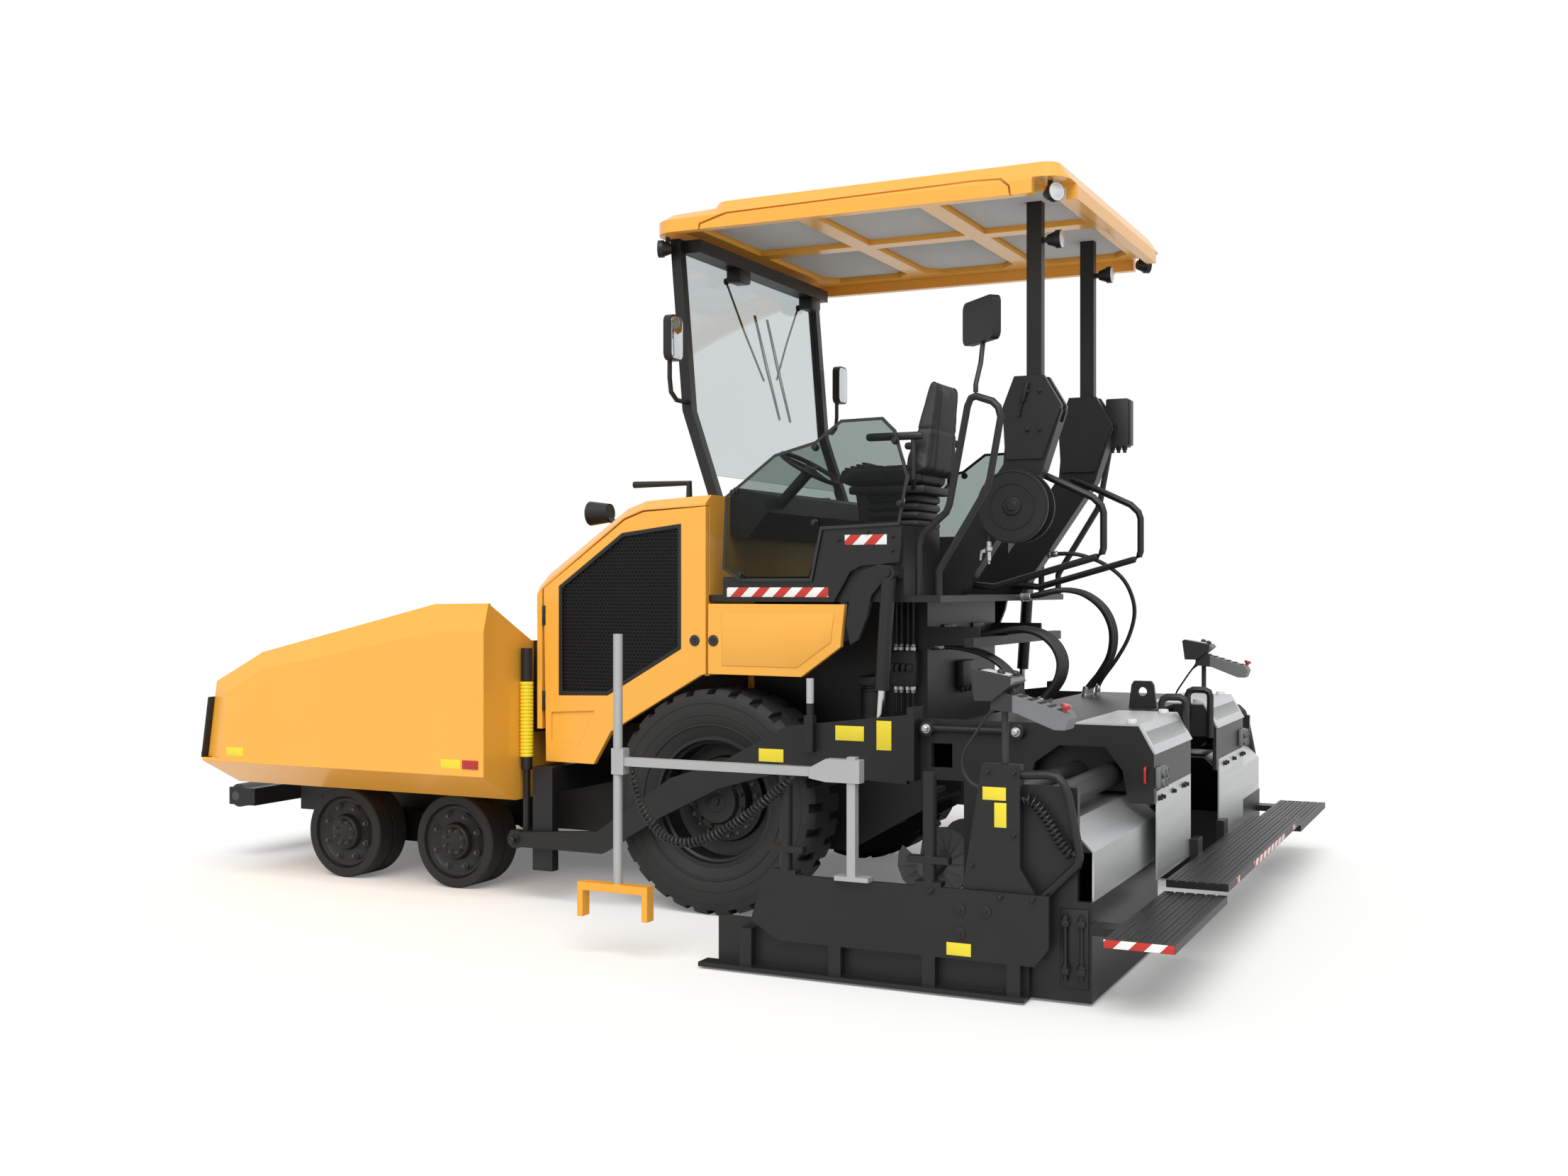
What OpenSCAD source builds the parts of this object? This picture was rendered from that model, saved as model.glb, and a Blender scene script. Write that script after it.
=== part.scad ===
// Wheeled asphalt paver with an extending screed, in millimetres.
// X points forward, Y to the machine's left and Z up. Lengthwise places are measured from the drive axle.
// The whole machine is then moved along X so that its box is centred on the origin.

/* [Running gear] */
// Diameter of a drive tyre over its tread blocks
drive_d = 1200; // [1150:10:1240]
// Width of a drive tyre
drive_w = 370; // [320:5:380]
// Distance between the middles of the two drive tyres
drive_track = 2000; // [1980:10:2030]
// Diameter of the drive rim where the tyre sits
rim_d = 700; // [640:10:740]
// Tread blocks around one shoulder of a drive tyre
lug_count = 28; // [20:2:36]
// Depth of the grooves between the tread blocks
lug_depth = 28; // [15:1:40]
// Diameter of a bogie wheel
bogie_d = 540; // [500:5:545]
// Width of a bogie wheel over both rubber bands
bogie_w = 250; // [220:5:260]
// Gap between a bogie beam and its wheels
beam_gap = 130; // [120:5:140]
// Width of a bogie beam
beam_t = 110; // [100:5:120]
// Place of the leading bogie wheel
bogie_front_x = 2520; // [2450:10:2560]
// Distance between the two bogie wheels of one side
bogie_base = 810; // [780:10:850]
// Distance of a kingpin from the bogie wheel's inner face
kingpin_in = 80; // [70:5:90]

/* [Chassis] */
// Width over the side plates of the frame
frame_w = 1200; // [1160:10:1220]
// Thickness of the frame plates
frame_t = 25; // [20:1:30]
// Front end of the frame
frame_front_x = 3330; // [3300:10:3360]
// Rear end of the frame
frame_rear_x = -1000; // [-1010:5:-960]
// Height of the frame's underside
frame_low_z = 300; // [280:5:320]
// Height of the top of the conveyor deck
deck_z = 585; // [570:5:590]
// Height of the roof of the conveyor tunnel
tunnel_z = 950; // [930:5:970]
// Place of the bulkhead between the hopper and the hood
bulkhead_x = 1150; // [1148:1:1155]
// Top of the bulkhead
bulkhead_z = 1440; // [1400:10:1460]

/* [Hopper] */
// Rear edge of a hopper wing
wing_rear_x = 1190; // [1188:1:1200]
// Length of a hopper wing
wing_l = 2035; // [1950:5:2060]
// Half the hopper's width with the wings down
wing_half = 1550; // [1500:10:1580]
// Height of the wing's floor at its outer fold
wing_floor_z = 575; // [572:1:590]
// Height of the wing above its floor
wing_h = 1078; // [1000:2:1100]
// Thickness of the wing's plates
wing_t = 20; // [15:1:24]
// Diameter of a wing's hinge tube
wing_hinge_d = 36; // [30:1:40]
// Height of a wing's hinge
wing_hinge_z = 565; // [562:1:567]
// Distance of the wing's lower fold from the middle
wing_fold_y = 1250; // [1220:10:1280]

/* [Front] */
// Place of the push rollers' axis
roller_x = 3620; // [3610:5:3640]
// Diameter of a push roller
roller_d = 150; // [130:5:155]
// Height of the push rollers' axis
roller_z = 400; // [380:5:420]
// Half the length of the push beam
push_half = 880; // [840:10:920]

/* [Hood] */
// Rear wall of the hood
hood_rear_x = 38; // [30:1:50]
// Length of the hood
hood_l = 1098; // [1080:2:1100]
// Height of the hood above the tunnel
hood_h = 1286; // [1250:2:1320]
// Half width of the hood at its doors
hood_half = 1160; // [1155:1:1165]
// Half width of the hood's flat top
crown_half = 1095; // [1060:5:1110]
// Thickness of the hood's walls
hood_t = 30; // [20:1:36]
// Thickness of the engine doors and service panels
door_t = 35; // [30:1:40]
// Length of a service panel
panel_l = 790; // [740:5:800]
// Height of a service panel
panel_h = 376; // [360:2:380]

/* [Operator platform] */
// Height of the platform's floor
platform_z = 1700; // [1695:1:1720]
// Thickness of the platform's floor
platform_t = 35; // [30:1:40]
// Rear edge of the platform
platform_rear_x = -1270; // [-1290:5:-1250]
// Half width over the platform's skirts
skirt_half = 1150; // [1148:1:1152]
// Thickness of the skirts
skirt_t = 30; // [24:1:36]
// Thickness of the side glass
glass_t = 10; // [6:1:14]
// Distance of the seat from the middle
seat_y = 675; // [640:5:700]
// Width of the seat
seat_w = 500; // [460:10:540]
// Diameter of the hose reel
reel_d = 380; // [340:10:400]
// Diameter of the hand rails' tube
rail_d = 38; // [30:1:44]

/* [Canopy] */
// Front edge of the roof
roof_front_x = 420; // [400:5:440]
// Length of the roof
roof_l = 2320; // [2240:10:2360]
// Half width of the roof
roof_half = 1090; // [1060:5:1110]
// Height of the roof's lower edge
roof_z = 3667; // [3600:1:3700]
// Height of the roof's shell
roof_h = 163; // [150:1:180]
// Corner radius of the roof
roof_corner = 140; // [110:5:150]
// Length of the lower visor at the roof's front
visor_l = 300; // [260:10:340]
// Distance of the rear posts from the middle
post_y = 530; // [515:5:545]
// Distance of the rear posts from the roof's rear edge
post_inset = 317; // [300:1:330]
// Half width over the windshield frame
shield_half = 930; // [900:5:950]
// Thickness of the windshield frame
shield_t = 60; // [50:1:70]

/* [Tow arms and lift] */
// Place of the tow point
tow_x = 1171; // [1165:1:1180]
// Height of the tow point
tow_z = 341; // [330:1:350]
// Distance of a tow arm's inner face from the middle
arm_y = 1240; // [1238:1:1246]
// Thickness of a tow arm
arm_t = 45; // [36:1:46]
// Place of the lift cylinder's upper pin
lift_top_x = -1023; // [-1030:1:-1015]
// Height of the lift cylinder's upper pin
lift_top_z = 1812; // [1805:1:1820]
// Place of the lift cylinder's lower pin
lift_low_x = -960; // [-965:1:-955]
// Height of the lift cylinder's lower pin
lift_low_z = 870; // [860:1:880]
// Distance of the lift cylinders from the middle
lift_y = 1195; // [1192:1:1197]
// Outer diameter of a lift cylinder's barrel
barrel_d = 72; // [66:1:74]
// Diameter of a lift cylinder's rod
rod_d = 40; // [36:1:44]

/* [Augers] */
// Place of the augers' shaft
auger_x = -1190; // [-1200:1:-1185]
// Height of the augers' shaft
auger_z = 330; // [320:1:350]
// Diameter of the auger flights
auger_d = 340; // [300:5:350]
// Length of one auger
auger_l = 1080; // [1000:10:1100]
// Pitch of the auger flights
auger_pitch = 330; // [280:10:380]

/* [Screed] */
// Half width of the main screed
screed_half = 1200; // [1190:1:1204]
// Front face of the main screed
screed_front_x = -1420; // [-1430:1:-1412]
// Rear face of the main screed
screed_rear_x = -2350; // [-2360:1:-2346]
// Height of the main screed's top
screed_top_z = 1090; // [1060:5:1110]
// Half width of the opening between the two screed hoods
gap_half = 350; // [320:5:380]
// Depth of the main screed's base, front to back
base_l = 330; // [300:5:340]
// Height of the screed plates above the ground
screed_low_z = 12; // [8:1:20]
// Lower edge of the main screed's upper frame
upper_z = 729; // [720:1:735]
// Thickness of the screed's plates
screed_t = 20; // [16:1:24]
// Length of an extender
extender_l = 1240; // [1200:5:1250]
// Outer end of an extender
extender_y = 2130; // [2100:5:2140]
// Height of an extender's box
extender_z = 430; // [400:5:450]
// Height of an extender's cover over the ground
extender_top_z = 748; // [735:1:752]
// Depth of an extender, front to back
extender_w = 520; // [500:5:530]
// Outer face of an end gate
gate_y = 2215; // [2205:1:2230]
// Height of an end gate's plate
gate_z = 458; // [440:2:470]
// Length of an end gate's skid
skid_l = 1540; // [1480:10:1560]
// Place of the skid's front tip
skid_front_x = -501; // [-520:1:-495]
// Width of a walkway
walk_w = 285; // [250:5:300]
// Height of the centre walkway
walk_z = 380; // [375:1:390]
// Reach of a walkway past its extender
walk_over = 205; // [180:5:240]

/* [Hidden] */
$fn = 48;
// Overrun of a cut past the face it leaves
overrun = 10;
// Running clearance between parts that seat on each other
seat_gap = 0.3;
// Clearance between parts that pass each other
pass_gap = 8;
// Sides of a bent tube
tube_sides = 8;
// Colours of the paint, the frames, the rubber, the covers and the glass
paint = "#f0a63a";
black = "#262627";
rubber = "#1b1b1c";
silver = "#c9cbcc";
glass = "#5d6b66";
grey = "#6d6f72";

// Wheels
drive_r = drive_d / 2;
rim_r = rim_d / 2;
drive_y = drive_track / 2;
bogie_r = bogie_d / 2;
bogie_rear_x = bogie_front_x - bogie_base;
bogie_mid_x = bogie_front_x - bogie_base / 2;
kingpin_r = 25;
stub_r = 50;
knuckle_h = 130;
knuckle_w = 110;
lug_t = 25;
lug_gap = 2;
lug_lap = 30;
lug_end = 20;
boss_l = 30;
boss_r = 78;
saddle_h = 160;
beam_w = 90;
hub_r = 160;
drive_fixed_r = 190;
hub_gap_y = drive_w * 0.45;
tread_shares = [[0, 0.4], [0.12, 0.44], [0.4, 0.5], [0.8, 0.5], [0.93, 0.46], [1, 0.4]];

// Frame
frame_half = frame_w / 2;
frame_in = frame_half - frame_t;
beam_in_y = frame_half + boss_l;
beam_out_y = beam_in_y + beam_t;
bogie_inner_y = beam_out_y + beam_gap;
bogie_y = bogie_inner_y + bogie_w / 2;
kingpin_y = bogie_inner_y - kingpin_in;
chain_guard_w = 80;
chain_guard_h = 60;
slat_pitch = 170;
slat_h = 30;
slat_w = 40;
chain_w = 45;
nose_l = 60;
nose_r = 60;
nose_h = 80;
pivot_r = 20;
clevis_t = 18;
eye_r = 30;
eye_inset = 200;
eye_up = 75;
frame_taper_share = 0.55;
cross_shares = [0.06, 0.5, 1];
cross_w = 120;

// Hopper
wing_rim_shares = [[0, 1], [0.176, 0.995], [0.79, 0.684], [0.966, 0.49], [1, 0]];
wing_crease_shares = [[0, 0.837], [0.152, 0.834], [0.77, 0.576], [0.908, 0.419], [0.924, 0]];
wing_lean = 45;
wing_slant_share = 0.145;
wing_slant_z = wing_floor_z + wing_h * wing_slant_share;
wing_back_share = 0.58;

// Front beam
push_w = 70;
push_h = 110;
ear_t = 25;

// Hood
hood_z = tunnel_z;
crown_shares = [[1, 0], [1, 0.616], [0.936, 0.673], [0.472, 0.949], [0.362, 0.981], [0, 1], [0, 0]];
shoulder_shares = [[0.975, 0], [0.975, 0.585], [0.915, 0.64], [0.46, 0.912], [0.352, 0.944], [0, 0.962],
    [0, 0]];
door_shares = [[0.936, 0.61], [0.921, -0.14], [0.637, -0.142], [0.536, 0.002], [0.026, 0.251], [0, 0.256],
    [0, 0.95], [0.35, 0.932], [0.455, 0.9]];
door_cut_shares = [[0.945, -0.2], [0.945, 0.607], [0.459, 0.907], [0.351, 0.939], [-0.1, 0.957], [-0.1, -0.2]];
grille_shares = [[0.844, 0.62], [0.472, 0.845], [0.136, 0.88], [0.136, 0.358], [0.555, 0.154], [0.844, 0.148]];
recess_shares = [[0.889, 0.074], [0.632, 0.087], [0.724, -0.063], [0.889, -0.054]];
panel_shares = [[1, 0.01], [0.31, 0], [0.03, 0.42], [0, 1], [1, 1]];
panel_gap = 14;
panel_top_gap = 12;
panel_front_x = hood_rear_x - panel_gap;
panel_z = platform_z - platform_t - panel_top_gap - panel_h;
arch_gap = 70;
mesh_t = 10;
door_hinge_shares = [0.08, 0.45];
hinge_h = 110;
door_in_y = hood_half - door_t;

// Platform
skirt_l = 1014;
skirt_h = 385;
skirt_front_x = -62;
skirt_z = platform_z - platform_t;
skirt_shares = [[1, 0], [1, 0.34], [0.509, 0.34], [0.43, 1], [0, 1], [0.015, 0.52], [0.22, 0.48], [0.28, 0.4],
    [0.37, 0]];
hose_beam_x = -1340;
hose_beam_z = 1430;
hose_beam_w = 50;
bracket_l = 300;
bracket_h = 420;
bracket_shares = [[0.92, 0], [1, 0.25], [0.9, 0.66], [0.7, 0.9], [0.4, 0.98], [0.05, 0.95], [0, 0.81],
    [0.33, 0.76], [0.53, 0.6], [0.6, 0.36], [0.77, 0.06]];
wall_t = 20;
pedestal_half = 580;
seat_box_h = 350;
seat_box_l = 476;
seat_box_front_x = -600;
seat_box_x = [seat_box_front_x - seat_box_l, seat_box_front_x];
seat_box_in = 600;
seat_box_y = [seat_box_in, skirt_half - skirt_t];
bellows_count = 4;
seat_back_shares = [[0.62, 0], [0.3, 0.04], [0, 0.95], [0.12, 1], [0.3, 0.98], [1, 0.16], [1, 0]];
cushion_shares = [[0, 0], [0, 1], [0.8, 1], [0.95, 0.85], [1, 0.5], [0.95, 0]];
glass_l = 1053;
glass_h = 830;
glass_lap = 25;
glass_z = skirt_z + skirt_h * 0.34 - glass_lap;
glass_shares = [[1, 0.08], [0.9, 0], [0.505, 0], [0.45, 0.32], [0.045, 0.34], [0, 0.635], [0.066, 0.917],
    [0.133, 1], [0.351, 0.995], [0.49, 0.869], [0.709, 0.798], [0.984, 0.543]];

// Canopy
post_x = roof_front_x - roof_l + post_inset;
support_shares = [[1, 0], [0.7, 0], [0.13, 0.57], [0, 0.84], [0.27, 1], [0.37, 0.85], [0.4, 0.6]];
support_lap = 157;
support_h = 1143;
support_w = 110;
support_front_x = -950;
support_l = support_front_x - post_x + support_lap;
post_l = 80;
post_w = 60;
post_foot_z = 2600;
roof_rear_x = roof_front_x - roof_l;
roof_rim_share = 0.42;
roof_crown_share = 0.55;
roof_front_share = 0.93;
visor_shares = [0.74, 0.66];
groove_shares = [[0.115, -0.3], [0.122, 0.3], [0.142, 0.56], [0.2, 0.6], [0.8, 0.47], [0.87, 0.2],
    [0.875, -0.3]];
groove_in_shares = [[0.119, -0.3], [0.126, 0.28], [0.145, 0.5], [0.2, 0.54], [0.797, 0.41], [0.866, 0.15],
    [0.871, -0.3]];
groove_depth = 25;
pocket_l = 170;
pocket_w = 210;
pocket_h = 78;
roof_rim = 55;
roof_recess = 60;
bay_cut = 90;
bay_depth = roof_recess * 1.7;
bay_gap = 110;
bay_l = (roof_l - 2 * roof_rim - 4 * bay_gap) / 3;
bay_w = roof_half - roof_rim - 1.5 * bay_gap;
cheek_t = 14;
cheek_shares = [[0.38, 0.62], [0.4, 0.86], [0.32, 1], [0.12, 1], [0, 0.86], [0.13, 0.62]];
shield_foot_l = 100;
shield_drop = 15;
shield_top_x = 385;
shield_kink_x = 307;
shield_kink_z = 2715;
shield_kink = [shield_kink_x, shield_kink_z];
shield_foot = [hood_rear_x + shield_foot_l, hood_z + hood_h - shield_drop];
shield_top = [shield_top_x, roof_z];

// Rails and hose reel
guard_l = 790;
guard_w = 55;
guard_h = 615;
guard_inset = 175;
guard_x = support_front_x - guard_inset;
guard_z = platform_z + support_w / 2;
guard_shares = [[0.5, 0, 1], [0.5, 0.75, 1], [0.57, 1, 0.96], [0.93, 1, 0.74], [0.985, 1, 0.67], [1, 1, 0.61],
    [1, 1, 0.31], [0.99, 1, 0.27], [0.955, 1, 0.235], [0.25, 1, -0.02], [0.1, 0.9, 0], [0.03, 0.7, 0],
    [0.03, 0, 0]];
hand_l = 430;
hand_h = 990;
hand_inset = 130;
hand_x = platform_rear_x + hand_inset;
hand_shares = [[0, 0], [0, 0.26], [0.04, 0.31], [0.34, 0.42], [0.38, 0.46], [0.6, 0.95], [0.64, 0.99], [0.7, 1],
    [0.9, 0.97], [0.97, 0.94], [1, 0.89], [0.87, 0.58], [0.83, 0.53], [0.3, 0.16], [0.25, 0.12], [0.25, 0]];
reel_share = 0.72;
reel_w = 150;
reel_t = 15;
reel_x = support_front_x - support_l * reel_share;
reel_z = platform_z + support_h * 0.4;

// Mirrors
mirror_w = 140;
mirror_h = 245;
mirror_t = 45;
mirror_r = 40;
mirror_out = 195;
mirror_y = shield_half + mirror_out;
mirror_z = 3085;
mirror_foot_z = 2760;
rear_mirror_w = 340;
rear_mirror_h = 220;
rear_mirror_turn = 45;

// Work lamps
lamp_d = 95;
lamp_l = 75;
lamp_stem = 26;
front_lamp_turn = 20;
rear_lamp_turn = 145;

// Tow arms
arm_rear_x = -1152;
arm_l = tow_x - arm_rear_x;
arm_h = 840;
arm_eye_r = 50;
flange_rise = 444;
flange_h = 364;
flange_z = [tow_z + flange_rise, tow_z + flange_rise + flange_h];
arm_shares = [[1.001, 0], [1.001, 0.095], [0.771, 0.14], [0.576, 0.512], [0.439, 0.638], [0.282, 0.87],
    [0, 0.963], [0, 0.556], [0.29, 0.594], [0.452, 0.463], [0.602, 0.258], [0.758, 0]];
flange_w = 40;
grade_share = 0.22;
grade_d = 38;
grade_h = 370;
grade_clamp = 48;
guide_gap = 81;
guide_l = 130;
guide_x = [tow_x - guide_gap - guide_l, tow_x - guide_gap];
guide_low_z = 170;
guide_h = 575;
guide_z = [guide_low_z, guide_low_z + guide_h];
guide_w = 60;
guide_foot_h = 145;
level_in = 21;
level_x = tow_x - level_in;
level_d = 64;
level_l = 1060;
level_rod_share = 0.36;
lift_l = norm([lift_top_x - lift_low_x, lift_top_z - lift_low_z]);
barrel_l = lift_l * 0.625;

// Augers
case_w = 90;
flight_t = 14;
flight_steps = 44;

// Screed
plate_t = 8;
sole_t = 40;
cover_share = 0.4;
chamfer_l = 72;
chamfer_h = 128;
deck_share = 0.25;
base_bays = 4;
base_rear_x = screed_front_x - base_l;
screed_l = screed_front_x - screed_rear_x;
extender_gap = 30;
extender_front_x = base_rear_x - extender_gap;
extender_rear_x = extender_front_x - extender_w;
tube_r = 55;
tube_z = 850;
tube_shares = [0.33, 0.66];
tube_x = [for (share = tube_shares) extender_front_x * share + extender_rear_x * (1 - share)];
plate_drop = 60;
bush_y = 1080;
bush_drop = 80;
riser_in = 60;
riser_t = 35;
end_shares = [[1, 0], [1, 1], [0.08, 1], [0, 0.64], [0, 0], [0.129, 0], [0.159, 0.415], [0.247, 0.712],
    [0.484, 0.712], [0.613, 0.474], [0.656, 0]];
hanger_z = 372;
hanger_in = 40;
link_z = 1045;
link_d = 36;
link_lug = 50;
cover_shares = [[0.865, 0], [0.865, 0.84], [0.77, 1], [0.23, 1], [0, 0.65], [0, 0]];
cover_in_shares = [[0.85, 0], [0.85, 0.83], [0.76, 0.972], [0.235, 0.972], [0.015, 0.64], [0.015, 0]];
rail_y = gap_half - rail_d / 2 - seat_gap;
u_rail_shares = [[0.165, 0.82], [0.165, 1.14], [0.155, 1.2], [0.13, 1.23], [0.065, 1.23], [0.04, 1.2],
    [0.032, 1.14],
    [0.032, 0.5]];
eye_plate_t = 25;
eye_plate_shares = [[0.27, 1], [0.285, 1.34], [0.3, 1.4], [0.4, 1.4], [0.415, 1.34], [0.43, 1]];
lug_hole_r = 24;

// Towers and consoles
tower_l = 380;
tower_h = 614;
tower_rear_x = extender_rear_x + extender_w * 0.34;
tower_low_z = 380;
tower_shares = [[1, 0], [0.74, 1], [0.3, 1], [0.3, 0.3], [0, 0]];
loop_shares = [[0.3, 0.93], [0, 0.94], [-0.1, 0.93], [-0.18, 0.88], [-0.23, 0.8], [-0.33, 0.48], [-0.35, 0.4],
    [-0.33, 0.34], [0.06, 0.1]];
console_l = 420;
console_w = 130;
console_h = 250;
console_z = 1150;
screen_w = 170;
keypad_shares = [[0.81, 0.3], [0.79, 0.56], [0.71, 0.62], [0.04, 0.29], [0, 0.18], [0.04, 0], [0.15, 0],
    [0.55, 0.26]];
screen_shares = [[0.96, 0.45], [1, 0.94], [0.97, 0.98], [0.58, 0.85], [0.54, 0.78], [0.58, 0.72], [0.78, 0.45]];

// End gates
gate_t = 25;
gate_rear_x = -2141;
gate_l = 1313;
gate_low_z = 160;
gate_shares = [[1, 1], [0, 1], [0, 0.268], [0.046, 0], [0.945, 0], [1.052, 0.268]];
skid_low_z = 10;
skid_t = 20;
skid_tip = 70;
skid_in = 50;
skid_out = 20;
web_in = 40;
web_t = 15;
web_h = 240;
rib_shares = [0.17, 0.455, 0.74, 0.985];
rib_w = 60;
rib_h = 200;
gate_post_shares = [0.928, 0.407];
gate_post_d = 60;
gate_post_h = 490;
gate_bar_l = 190;
gate_bar_share = 0.2;
gate_hole_shares = [[0.296, 0.705], [0.209, 0.71], [0.296, 0.37]];
gate_hole_r = 23;

// Sensor arms
sensor_bar = 40;
sensor_post_x = -1268;
sensor_post_z = 1000;
sensor_beam_rear_x = -1311;
sensor_beam_l = 1211;
sensor_beam_z = 887;
clamp_l = 241;
clamp_h = 101;
clamp_shares = [[0, 0], [0, 1], [0.67, 1], [1, 0.58], [1, 0.13], [0.67, 0]];
pole_x = -75;
pole_d = 44;
pole_l = 1170;
pole_low_z = 352;
foot_l = 381;
foot_rear_x = -250;
foot_low_z = 190;
foot_h = 124;
foot_half = 30;

// Walkways
walk_t = 36;
groove_count = 5;
groove_w = 10;
walk_gap = 50;
walk_drop = 12;
walk_inset = 30;
walk_arm_in = 300;
walk_arm_w = 120;
walk_arm_y = [walk_arm_in, walk_arm_in + walk_arm_w];
walk_arm_h = 80;
walk_stay_w = 120;
walk_half = extender_y + walk_over;
walk_rear_x = screed_rear_x - walk_gap - walk_w;
origin_x = -(roller_x + roller_d / 2 + walk_rear_x) / 2;

// Points of an outline given as shares of a length and a height
function spread(shares, x0, z0, l, h) = [for (p = shares) [x0 + p[0] * l, z0 + p[1] * h]];

// Unit vector along v
function unit(v) = v / norm(v);

// Direction of a path at point i
function heading(path, i) = unit((i == 0 ? [0, 0, 0] : unit(path[i] - path[i - 1]))
    + (i == len(path) - 1 ? [0, 0, 0] : unit(path[i + 1] - path[i])));

// Ring of a tube of radius r at point i of a path, turned so that one corner points along up
function tube_ring(path, i, r, up) = let (
    t = heading(path, i),
    b = unit(up - t * (t * up)),
    n = cross(t, b)
) [for (j = [0:tube_sides - 1]) path[i] + r * (cos(360 * j / tube_sides) * b + sin(360 * j / tube_sides) * n)];

// Closed skin over rings of equally many points
module skin(rings) {
    s = len(rings[0]);
    n = len(rings);
    sides = [for (i = [0:n - 2]) for (j = [0:s - 1]) let (k = (j + 1) % s)
        [i * s + j, (i + 1) * s + j, (i + 1) * s + k, i * s + k]];
    start = [for (j = [0:s - 1]) j];
    end = [for (j = [0:s - 1]) n * s - 1 - j];
    polyhedron([for (r = rings) for (p = r) p], concat([start], sides, [end]), convexity = 8);
}

module swept_tube(path, d, up = [0, 1, 0]) {
    skin([for (i = [0:len(path) - 1]) tube_ring(path, i, d / 2, up)]);
}

// Plate with its outline in the XZ plane, from y0 outwards
module side_plate(points, y0, t) {
    translate([0, y0 + t, 0]) rotate([90, 0, 0]) linear_extrude(t) polygon(points);
}

// Plate with its outline in the YZ plane, from x0 forwards
module cross_plate(points, x0, t) {
    translate([x0, 0, 0]) rotate([90, 0, 90]) linear_extrude(t) polygon(points);
}

// Box between pairs of low and high places
module block(x, y, z) {
    translate([x[0], y[0], z[0]]) cube([x[1] - x[0], y[1] - y[0], z[1] - z[0]]);
}

// Round bar along Y
module y_bar(x, z, y, r) {
    translate([x, y[0], z]) rotate([-90, 0, 0]) cylinder(r = r, h = y[1] - y[0]);
}

module both_sides() {
    children();
    mirror([0, 1, 0]) children();
}

// The left piece as drawn, or its mirror image on the right
module on_side(right) {
    mirror([0, right ? 1 : 0, 0]) children();
}

module placed() {
    translate([origin_x, 0, 0]) children();
}

module chassis_frame() {
    color(black) difference() {
        union() {
            both_sides() side_plate([[frame_front_x, frame_low_z], [frame_front_x, deck_z],
                [bulkhead_x, deck_z], [bulkhead_x, tunnel_z], [frame_rear_x, tunnel_z],
                [frame_rear_x, deck_z - frame_t], [frame_rear_x * frame_taper_share, frame_low_z]],
                frame_in, frame_t);
            block([frame_rear_x, frame_front_x], [-frame_in, frame_in], [deck_z - frame_t, deck_z]);
            block([frame_rear_x, bulkhead_x], [-frame_in, frame_in], [tunnel_z - frame_t, tunnel_z]);
            block([frame_rear_x, frame_front_x], [-chain_guard_w / 2, chain_guard_w / 2],
                [deck_z, deck_z + chain_guard_h]);
            for (share = cross_shares)
                block([frame_rear_x * frame_taper_share * (1 - share) + frame_front_x * share - cross_w,
                    frame_rear_x * frame_taper_share * (1 - share) + frame_front_x * share],
                    [-frame_in, frame_in], [frame_low_z, deck_z - frame_t]);
            block([bulkhead_x, bulkhead_x + frame_t], [-crown_half, crown_half],
                [tunnel_z - frame_t, bulkhead_z]);
            block([frame_front_x, frame_front_x + nose_l], [-nose_r, nose_r],
                [roller_z - nose_h / 2, roller_z + nose_h / 2]);
            translate([frame_front_x + nose_l, 0, roller_z - nose_h / 2]) cylinder(r = nose_r, h = nose_h);
            both_sides() y_bar(0, drive_r, [frame_half, drive_y - hub_gap_y], drive_fixed_r);
        }
        translate([frame_front_x + nose_l, 0, roller_z - nose_h])
            cylinder(r = pivot_r + seat_gap, h = 2 * nose_h);
        both_sides() y_bar(frame_front_x - eye_inset, frame_low_z + eye_up,
            [frame_in - overrun, frame_half + overrun], eye_r);
    }
}

module conveyors() {
    run = [frame_rear_x + slat_pitch / 2, frame_front_x - slat_pitch];
    inner_y = chain_guard_w / 2 + pass_gap;
    outer_y = frame_in - pass_gap;
    color(rubber) both_sides() {
        for (y = [inner_y, outer_y - chain_w])
            block(run, [y, y + chain_w], [deck_z, deck_z + slat_h * 0.7]);
        for (x = [run[0]:slat_pitch:run[1] - slat_w])
            block([x, x + slat_w], [inner_y, outer_y], [deck_z, deck_z + slat_h]);
    }
}

module engine_block() {
    color(grey) block([hood_rear_x + hood_l * 0.12, hood_rear_x + hood_l * 0.85],
        [-hood_half * 0.36, hood_half * 0.36], [tunnel_z, tunnel_z + hood_h * 0.66]);
}

// Outline of the hood drawn in by a wall thickness
function hood_points(shares, wall) = [for (p = shares) [
    hood_rear_x + p[0] * hood_l + (p[0] == 0 ? wall : -wall),
    hood_z + p[1] * hood_h - (p[1] == 0 ? (wall > 0 ? overrun : 0) : wall)]];

module hood_form(wall) {
    hull() {
        side_plate(hood_points(crown_shares, wall), wall - crown_half, 2 * (crown_half - wall));
        side_plate(hood_points(shoulder_shares, wall), wall - hood_half, 2 * (hood_half - wall));
    }
}

module hood() {
    color(paint) difference() {
        hood_form(0);
        hood_form(hood_t);
        both_sides() side_plate(spread(door_cut_shares, hood_rear_x, hood_z, hood_l, hood_h),
            door_in_y - pass_gap, door_t + pass_gap + overrun);
        both_sides() y_bar(0, drive_r, [frame_half, hood_half + overrun], drive_r + arch_gap);
    }
}

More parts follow.
